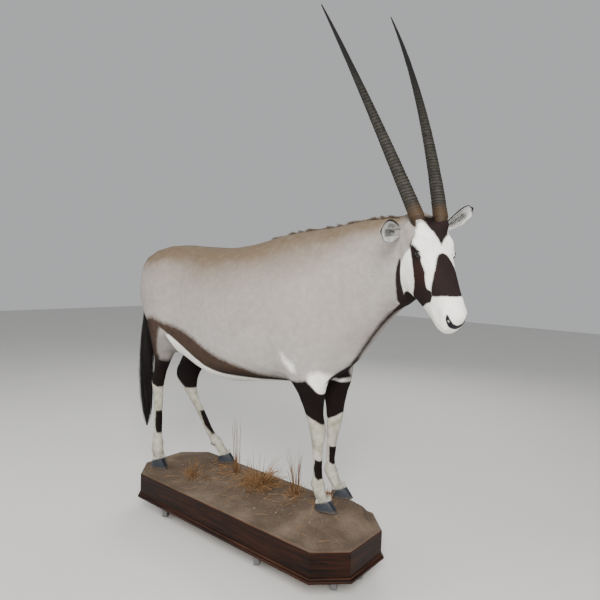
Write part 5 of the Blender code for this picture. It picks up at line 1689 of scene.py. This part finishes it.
@dataclass
class Sand:
    """Sand over the deck: the CAD ground with grit and small heaves."""

    grit: float = 0.0016
    heave: float = 0.0035
    clear: float = 0.060

    def build(self) -> bpy.types.Object:
        """The sand's piece."""
        sand = Bench.copy_node("ground", "sand_ground")
        Bench.subdivide(sand, 3, simple=True)
        points = Bench.points(sand)
        normals = Bench.normals(sand)
        low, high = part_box("ground")
        top = normals[:, 2] > 0.5
        edge = np.minimum(np.minimum(points[:, 0] - low.x, high.x - points[:, 0]),
                          np.minimum(points[:, 1] - low.y, high.y - points[:, 1]))
        corner = ((high.x - low.x) / 2 + (high.y - low.y) / 2 - CORNER_CUT
                  + SAND_INSET * 0.586
                  - np.abs(points[:, 0] - BASE_CENTRE.x) - np.abs(points[:, 1] - BASE_CENTRE.y))
        edge = np.minimum(edge, corner / math.sqrt(2))
        calm = ease(edge, 0.002, 0.030)
        for hoof in HOOVES:
            for half in ("left", "right"):
                sole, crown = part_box(f"{hoof.leg}_{half}_claw")
                middle = np.array((sole + crown) / 2)
                away = np.hypot(points[:, 0] - middle[0], points[:, 1] - middle[1])
                calm = np.minimum(calm, 0.1 + 0.9 * ease(away, 0.045, self.clear + 0.02))
        rise = np.array([self.heave * (noise.noise(Vector(p) * 9.0) + 0.5
                                       * noise.noise(Vector(p) * 24.0))
                         + self.grit * noise.noise(Vector(p) * 95.0) for p in points])
        points[:, 2] += np.where(top, np.minimum(rise * calm, 0.004), 0)
        Bench.place(sand, points)
        Bench.smooth(sand, 60)
        return sand

    @staticmethod
    def corner(turn: int, outward: float) -> np.ndarray:
        """One corner of the base's octagon, moved outward, anticlockwise."""
        half_x, half_y = (half + outward for half in BASE_HALF)
        cut = CORNER_CUT + outward * (2 - math.sqrt(2))
        quarter = [(half_x - cut, -half_y), (half_x, -half_y + cut), (half_x, half_y - cut),
                   (half_x - cut, half_y)]
        x, y = (quarter + [(-x, -y) for x, y in quarter])[turn % 8]
        return np.array((x + BASE_CENTRE.x, y + BASE_CENTRE.y))

    def build_spill(self) -> bpy.types.Object:
        """Thin sand that has crept over the tops of the boards, nearly to their edge."""
        thin, across, width, inner_edge = 0.0004, 9, 0.0225, -0.026
        rows = []
        for turn in range(8):
            count = int(np.linalg.norm(self.corner(turn + 1, 0) - self.corner(turn, 0)) / 0.004)
            for share in np.arange(count) / count:
                row = []
                for step in range(across):
                    inner = inner_edge + step / (across - 1) * width
                    place = (self.corner(turn, inner) * (1 - share)
                             + self.corner(turn + 1, inner) * share)
                    wave = noise.noise(Vector((place[0], place[1], 0)) * 45.0)
                    fade = math.sin(min(step, across - 1 - step) / (across - 1) * math.pi)
                    if step == across - 1:
                        shift = 0.0014 * (wave - 0.6)
                        ahead = self.corner(turn, inner + shift), self.corner(turn + 1, inner + shift)
                        place = ahead[0] * (1 - share) + ahead[1] * share
                    rise = thin + 0.0016 * fade * (0.8 + 0.8 * wave)
                    row.append((*place, RIM_Z + (rise if 0 < step < across - 1 else -0.0008)))
                rows.append(row)
        faces = []
        for i in range(len(rows)):
            for j in range(across - 1):
                a, b = i * across + j, (i + 1) % len(rows) * across + j
                faces.append((a, a + 1, b + 1, b))
            faces.append((i * across, (i + 1) % len(rows) * across,
                          (i + 1) % len(rows) * across + across - 1, i * across + across - 1))
        spill = Bench.new("sand_on_rim", np.array(rows).reshape(-1, 3), faces)
        Bench.outward(spill)
        Bench.smooth(spill, 60)
        return spill


@dataclass(frozen=True)
class Tuft:
    """One stand of dry grass, in the base's frame."""

    node: str
    root: tuple[float, float]
    lean: tuple[float, float]
    stems: int
    litter: int
    crown: float
    seed: int

    def build(self, ground: BVHTree) -> bpy.types.Object:
        """A few tall stems over many low crossing straws.

        Args:
            ground: The sand's surface.

        Returns:
            The tuft.
        """
        rng = np.random.default_rng(self.seed)
        low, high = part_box(self.node)
        middle, half = (low + high) / 2, (high - low) / 2
        paths, radii = [], []
        while len(paths) < self.stems + self.litter:
            stem = len(paths) < self.stems
            angle, share = rng.uniform(0, 2 * math.pi), math.sqrt(rng.uniform(0, 1))
            reach = self.crown if stem else 0.85 * half.x
            start = (BASE_CENTRE.x + self.root[0] + reach * share * math.cos(angle),
                     BASE_CENTRE.y + self.root[1] + reach * share * math.sin(angle))
            hit = ground.ray_cast(Vector((*start, 0.6)), Vector((0, 0, -1)))[0]
            if hit is None:
                continue
            tall = rng.uniform(0.50, 1.0) if stem else rng.uniform(0.03, 0.42) ** 1.3
            turn = angle + rng.normal(0, 0.5) if stem else rng.uniform(0, 2 * math.pi)
            out = half.x * (rng.uniform(0.25, 0.95) if stem else rng.uniform(0.35, 1.0))
            tip = Vector((start[0] + out * math.cos(turn) + self.lean[0] * tall,
                          start[1] + out * math.sin(turn) + self.lean[1] * tall,
                          low.z + 2 * half.z * tall))
            tip.x = min(max(tip.x, middle.x - half.x), middle.x + half.x)
            tip.y = min(max(tip.y, middle.y - half.y), middle.y + half.y)
            steps = np.linspace(0, 1, 8)[:, None]
            path = np.array(hit) + (np.array(tip) - np.array(hit)) * steps
            arc = rng.uniform(0.0, 0.18) if stem else rng.uniform(0.1, 0.5)
            path[:, 2] += (arc * (tip.z - hit.z + 0.25 * out) * np.sin(math.pi * steps))[:, 0]
            path[:, :2] += rng.normal(0, 0.005, 2) * np.sin(math.pi * steps)
            if stem and rng.uniform() < 0.25:
                bent = steps[:, 0] > 0.62
                path[bent, 2] -= 0.5 * (path[bent, 2] - path[4, 2])
            path[0, 2] -= 0.003
            paths.append(path)
            radii.append(rng.uniform(0.0013, 0.0023) if stem else rng.uniform(0.0006, 0.0013))
        return Strands(f"{self.node}_blades", np.array(paths), np.array(radii),
                       rng.uniform(0, 1, len(paths))).build()


@dataclass
class Litter:
    """Straw, twigs and small stones lying on the sand."""

    straws: int = 420
    stones: int = 260
    spots: tuple = ((0.02, 0.05, 0.13), (-0.17, 0.06, 0.09), (0.21, 0.06, 0.08),
                    (-0.32, -0.05, 0.09), (-0.28, 0.12, 0.06), (0.38, 0.07, 0.05))

    def drop(self, ground: BVHTree, x: float, y: float) -> Vector | None:
        """Place on the sand under a point of the base's frame."""
        start = Vector((BASE_CENTRE.x + x, BASE_CENTRE.y + y, 0.6))
        return ground.ray_cast(start, Vector((0, 0, -1)))[0]

    def build_straw(self, ground: BVHTree) -> bpy.types.Object:
        """Loose straw that lies where it fell."""
        rng = np.random.default_rng(23)
        paths = []
        while len(paths) < self.straws:
            if rng.uniform() < 0.82:
                a, b, r = self.spots[rng.integers(len(self.spots))]
                x, y = rng.normal(a, r * 0.6), rng.normal(b, r * 0.6)
            else:
                x, y = rng.uniform(-0.58, 0.58), rng.uniform(-0.18, 0.18)
            half, turn = rng.uniform(0.008, 0.045), rng.uniform(0, math.pi)
            rows = []
            for share in np.linspace(-1, 1, 6):
                hit = self.drop(ground, x + share * half * math.cos(turn)
                                + 0.12 * half * (1 - share ** 2),
                                y + share * half * math.sin(turn))
                if hit is None or abs(y) > 0.185 or abs(x) > 0.60:
                    break
                rows.append(np.array(hit) + (0, 0, 0.0012 + 0.003 * rng.uniform() * (1 - share ** 2)))
            if len(rows) == 6:
                paths.append(rows)
        return Strands("loose_straw", np.array(paths), rng.uniform(0.0006, 0.0012, self.straws),
                       rng.uniform(0, 1, self.straws)).build()

    def build_stones(self, ground: BVHTree) -> bpy.types.Object:
        """Small rounded stones and crumbs, each half sunk."""
        rng = np.random.default_rng(31)
        bpy.ops.object.select_all(action="DESELECT")
        bpy.ops.mesh.primitive_ico_sphere_add(subdivisions=1, radius=1.0)
        model = bpy.context.view_layer.objects.active
        shape = Bench.points(model)
        faces = np.array([list(face.vertices) for face in model.data.polygons])
        bpy.data.objects.remove(model)
        points, all_faces, shades = [], [], []
        while len(points) < self.stones:
            x, y = rng.uniform(-0.6, 0.6), rng.uniform(-0.19, 0.19)
            hit = self.drop(ground, x, y)
            if hit is None or abs(x) + abs(y) > 0.70:
                continue
            size = 0.0012 + 0.0045 * rng.uniform() ** 4
            lump = shape * (1 + rng.normal(0, 0.16, shape.shape)) * size * (1, 1, 0.65)
            all_faces.append(faces + len(points) * len(shape))
            points.append(lump + np.array(hit))
            shades.append(np.full(len(shape), rng.uniform(0, 1)))
        stones = Bench.new("sand_stones", np.concatenate(points), np.concatenate(all_faces))
        Bench.attribute(stones, "shade", np.concatenate(shades))
        Bench.smooth(stones, 40)
        return stones


@dataclass
class Caster:
    """One swivel caster, rounded from its CAD nodes, with its fasteners."""

    number: int
    wheel_radius: float = 0.0375
    wheel_width: float = 0.024

    def build_wheel(self) -> bpy.types.Object:
        """Turned wheel with a crowned tread and a dished face."""
        joint = next(j for j in frame["joints"] if j["name"] == f"caster_{self.number}_roll")
        axle = Vector(joint["axis"]).normalized()
        bpy.ops.object.select_all(action="DESELECT")
        bpy.ops.mesh.primitive_cylinder_add(vertices=56, radius=self.wheel_radius,
                                            depth=self.wheel_width, location=joint["pos_m"],
                                            rotation=axle.to_track_quat("Z", "Y").to_euler())
        wheel = bpy.context.view_layer.objects.active
        bpy.ops.object.mode_set(mode="EDIT")
        bpy.ops.mesh.select_mode(type="FACE")
        bpy.ops.mesh.select_all(action="DESELECT")
        bpy.ops.object.mode_set(mode="OBJECT")
        for face in wheel.data.polygons:
            face.select = abs(face.normal.z) > 0.9
        bpy.ops.object.mode_set(mode="EDIT")
        bpy.ops.mesh.inset(thickness=0.009, use_individual=True)
        bpy.ops.mesh.inset(thickness=0.001, depth=-0.003, use_individual=True)
        bpy.ops.mesh.inset(thickness=0.014, use_individual=True)
        bpy.ops.mesh.inset(thickness=0.001, depth=0.0022, use_individual=True)
        bpy.ops.object.mode_set(mode="OBJECT")
        Bench.modify(wheel, "BEVEL", width=0.0022, segments=3, limit_method="ANGLE",
                     angle_limit=math.radians(40))
        Bench.settle(wheel)
        wheel.name = wheel.data.name = f"caster_{self.number}_tyre"
        Bench.outward(wheel)
        Bench.smooth(wheel, 35)
        return wheel

    def build_fork(self) -> bpy.types.Object:
        """Pressed fork with softened edges."""
        fork = Bench.copy_node(f"caster_{self.number}_fork", f"caster_{self.number}_pressed_fork")
        Bench.modify(fork, "BEVEL", width=0.0007, segments=2, limit_method="ANGLE",
                     angle_limit=math.radians(50))
        Bench.smooth(fork, 35)
        return fork

    def build_screws(self) -> bpy.types.Object:
        """Four screw heads under the plate."""
        low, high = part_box(f"caster_{self.number}_plate")
        heads = []
        for x in (low.x + 0.008, high.x - 0.008):
            for y in (low.y + 0.008, high.y - 0.008):
                bpy.ops.object.select_all(action="DESELECT")
                bpy.ops.mesh.primitive_cylinder_add(vertices=14, radius=0.0042, depth=0.0022,
                                                    location=(x, y, high.z - 0.0036))
                head = Bench.settle(bpy.context.view_layer.objects.active)
                Bench.modify(head, "BEVEL", width=0.0008, segments=2, limit_method="ANGLE",
                             angle_limit=math.radians(50))
                heads.append(head)
        screws = Bench.join(f"caster_{self.number}_screws", heads)
        Bench.smooth(screws, 35)
        return screws


# Stage, light and camera


@dataclass
class Studio:
    """Pale floor, soft light and the photograph's camera."""

    camera_place: Vector = field(default_factory=lambda: Vector((1.677, -1.7323, 1.2627)))
    heading: float = 0.683
    pitch: float = 0.0589
    roll: float = 0.0354
    focal_px: float = 523.954
    frame_px: float = 600.0
    sensor_mm: float = 36.0

    def build(self) -> None:
        """Make the stage, the lights and the camera."""
        bpy.ops.object.select_all(action="DESELECT")
        bpy.ops.mesh.primitive_plane_add(size=24.0, location=(0, 0, 0))
        floor = bpy.context.view_layer.objects.active
        floor.name = floor.data.name = "studio_floor"
        dress = Dress("pale_floor")
        dress.set(Base_Color=dress.mix(dress.noise(2.0), (0.62, 0.61, 0.59), (0.66, 0.65, 0.63)),
                  Roughness=0.8)
        floor.data.materials.append(dress.material)
        self.light("key_light", (2.7, -3.1, 3.0), 1.8, 340.0, (1.0, 0.985, 0.96))
        self.light("fill_light", (-2.6, -3.0, 2.4), 2.8, 85.0, (0.97, 0.98, 1.0))
        self.light("back_light", (-1.6, 3.2, 3.2), 2.2, 70.0, (1.0, 0.99, 0.97))
        shade = bpy.data.worlds.new("soft_room")
        shade.use_nodes = True
        background = shade.node_tree.nodes["Background"]
        background.inputs["Color"].default_value = (0.97, 0.98, 1.0, 1.0)
        background.inputs["Strength"].default_value = 0.48
        bpy.context.scene.world = shade
        lens = bpy.data.cameras.new("photo_camera")
        lens.sensor_width = self.sensor_mm
        lens.lens = self.focal_px * self.sensor_mm / self.frame_px
        camera = bpy.data.objects.new("photo_camera", lens)
        bpy.context.scene.collection.objects.link(camera)
        camera.matrix_world = (Matrix.Translation(self.camera_place + BASE_CENTRE)
                               @ Matrix.Rotation(self.heading, 4, "Z")
                               @ Matrix.Rotation(math.pi / 2 - self.pitch, 4, "X")
                               @ Matrix.Rotation(self.roll, 4, "Z"))
        bpy.context.scene.camera = camera

    @staticmethod
    def light(name: str, place: Sequence[float], size: float, power: float,
              colour: Colour) -> None:
        """Soft square light aimed at the animal."""
        made = bpy.data.lights.new(name, "AREA")
        made.size, made.energy, made.color = size, power, colour
        lamp = bpy.data.objects.new(name, made)
        lamp.location = place
        aim = Vector((0.1, 0.0, 1.0)) - Vector(place)
        lamp.rotation_euler = aim.to_track_quat("-Z", "Y").to_euler()
        bpy.context.scene.collection.objects.link(lamp)


# Assembly


@dataclass
class Animal:
    """The mounted animal."""

    eye: Eye = field(default_factory=Eye)
    ears: tuple[Ear, Ear] = field(default_factory=lambda: (
        Ear(Side.RIGHT, Vector((-0.004, -1.0, 0.017)), Vector((1.0, 0.0, -0.05)), width=0.078,
            droop=0.014),
        Ear(Side.LEFT, Vector((0.506, 0.631, 0.587)), Vector((0.96, -0.28, -0.05)), width=0.062)))

    def build(self) -> None:
        """Skin, ears, eyes, horns, hooves, mane and tail."""
        coat = CoatLook().make()
        skin = Skin(self.eye, self.ears).build()
        surface = BVHTree.FromPolygons(Bench.points(skin).tolist(),
                                       [tuple(f.vertices) for f in skin.data.polygons])
        hand_over(skin, coat, "hide", "hide")
        white_hair = HairLook("white_hair", (0.34, 0.32, 0.27), (0.62, 0.60, 0.52), 0.8).make()
        ear_hair = HairLook("ear_hair", (0.20, 0.20, 0.195), (0.66, 0.64, 0.60), 0.8).make()
        for number, ear in enumerate(self.ears):
            hand_over(ear.build(), EarLook(ear.side).make(), "hide")
            hand_over(ear.build_fringe(360, 40 + number), ear_hair, "hide")
        glass, horn_look = EyeLook().make(), HornLook().make()
        lid = HairLook("bare_lid", (0.008, 0.007, 0.007), (0.016, 0.013, 0.012), 0.35).make()
        for side in (Side.LEFT, Side.RIGHT):
            name = side.name.lower()
            hand_over(self.eye.build_ball(side), glass, "eye", f"{name}_eye")
            hand_over(self.eye.build_rim(side), lid, "hide")
            hand_over(Horn(side).build(), horn_look, "horn", f"{name}_horn")
        hoof_look = HoofLook().make()
        for hoof in HOOVES:
            for half in ("left", "right"):
                claw, node = hoof.build_claw(half)
                hand_over(claw, hoof_look, "hoof", node)
        hand_over(CoronetFringe().build(), white_hair, "hide")
        black = HairLook("black_switch", (0.006, 0.005, 0.005), (0.030, 0.024, 0.022)).make()
        hand_over(Tail().build(), black, "tail_hair", "tail_switch")
        brown = HairLook("mane_brown", (0.030, 0.020, 0.014), (0.22, 0.17, 0.12), 0.7).make()
        hand_over(Mane().build(surface), brown, "hide")


@dataclass
class Base:
    """Walnut base, its sand, grass and casters."""

    tufts: tuple[Tuft, ...] = (
        Tuft("grass_tall", (-0.170, 0.085), (-0.01, -0.01), 9, 34, 0.012, 3),
        Tuft("grass_clump", (0.015, 0.050), (0.02, 0.0), 54, 300, 0.040, 4),
        Tuft("grass_front", (0.215, 0.085), (0.0, -0.03), 20, 60, 0.012, 7),
        Tuft("grass_rear", (-0.320, -0.075), (0.02, 0.0), 16, 46, 0.012, 8),
        Tuft("grass_between", (0.400, 0.077), (0.01, 0.0), 26, 24, 0.012, 9),
    )

    def build(self) -> None:
        """Dress the boards and deck and build what lies on them."""
        walnut = WoodLook("walnut_board", (0.0024, 0.0006, 0.0002), (0.034, 0.0092, 0.0028),
                          (0.11, 0.050, 0.024), 0.2092, 0.40).make()
        trim = WoodLook("moulding_wood", (0.0075, 0.0020, 0.0008), (0.040, 0.0125, 0.0050),
                        (0.070, 0.032, 0.018), 0.1100, 0.40).make()
        ply = WoodLook("deck_plywood", (0.17, 0.11, 0.06), (0.30, 0.21, 0.13),
                       (0.30, 0.21, 0.13), 9.0, 0.7).make()
        for name, node in frame["nodes"].items():
            look = walnut if name.endswith("_board") else trim if name.endswith("_moulding") else None
            look = ply if name == "deck" else look
            if look:
                node.data.materials.clear()
                node.data.materials.append(look)
        sand = Sand().build()
        surface = BVHTree.FromPolygons(Bench.points(sand).tolist(),
                                       [tuple(f.vertices) for f in sand.data.polygons])
        sand_look = SandLook().make()
        hand_over(sand, sand_look, "sand", "ground")
        hand_over(Sand().build_spill(), sand_look, "sand")
        straw = HairLook("dry_straw", (0.100, 0.045, 0.017), (0.37, 0.215, 0.100), 0.7).make()
        for tuft in self.tufts:
            hand_over(tuft.build(surface), straw, "grass", tuft.node)
        litter = Litter()
        hand_over(litter.build_straw(surface), straw, "grass")
        stone = HairLook("small_stones", (0.075, 0.055, 0.042), (0.24, 0.205, 0.17), 0.9).make()
        hand_over(litter.build_stones(surface), stone, "sand")
        self.build_casters()

    @staticmethod
    def build_casters() -> None:
        """Wheels, forks, plates and screws of the six casters."""
        zinc, tyre = MetalLook().make(), WheelLook().make()
        for number in range(1, 7):
            caster = Caster(number)
            name = f"caster_{number}"
            hand_over(caster.build_wheel(), tyre, "wheel", f"{name}_wheel",
                      body=f"{name}_wheel_body")
            hand_over(caster.build_fork(), zinc, "zinc", f"{name}_fork",
                      body=f"{name}_swivel_body")
            hand_over(caster.build_screws(), zinc, "zinc")
            plate = frame["nodes"][f"{name}_plate"]
            plate.data.materials.clear()
            plate.data.materials.append(zinc)


def main() -> None:
    """Build the stage, the base and the animal, and note the sizes."""
    logging.basicConfig(level=logging.INFO, format="%(message)s")
    bpy.ops.object.select_all(action="DESELECT")
    Studio().build()
    Base().build()
    Animal().build()


if __name__ == "__main__":
    main()
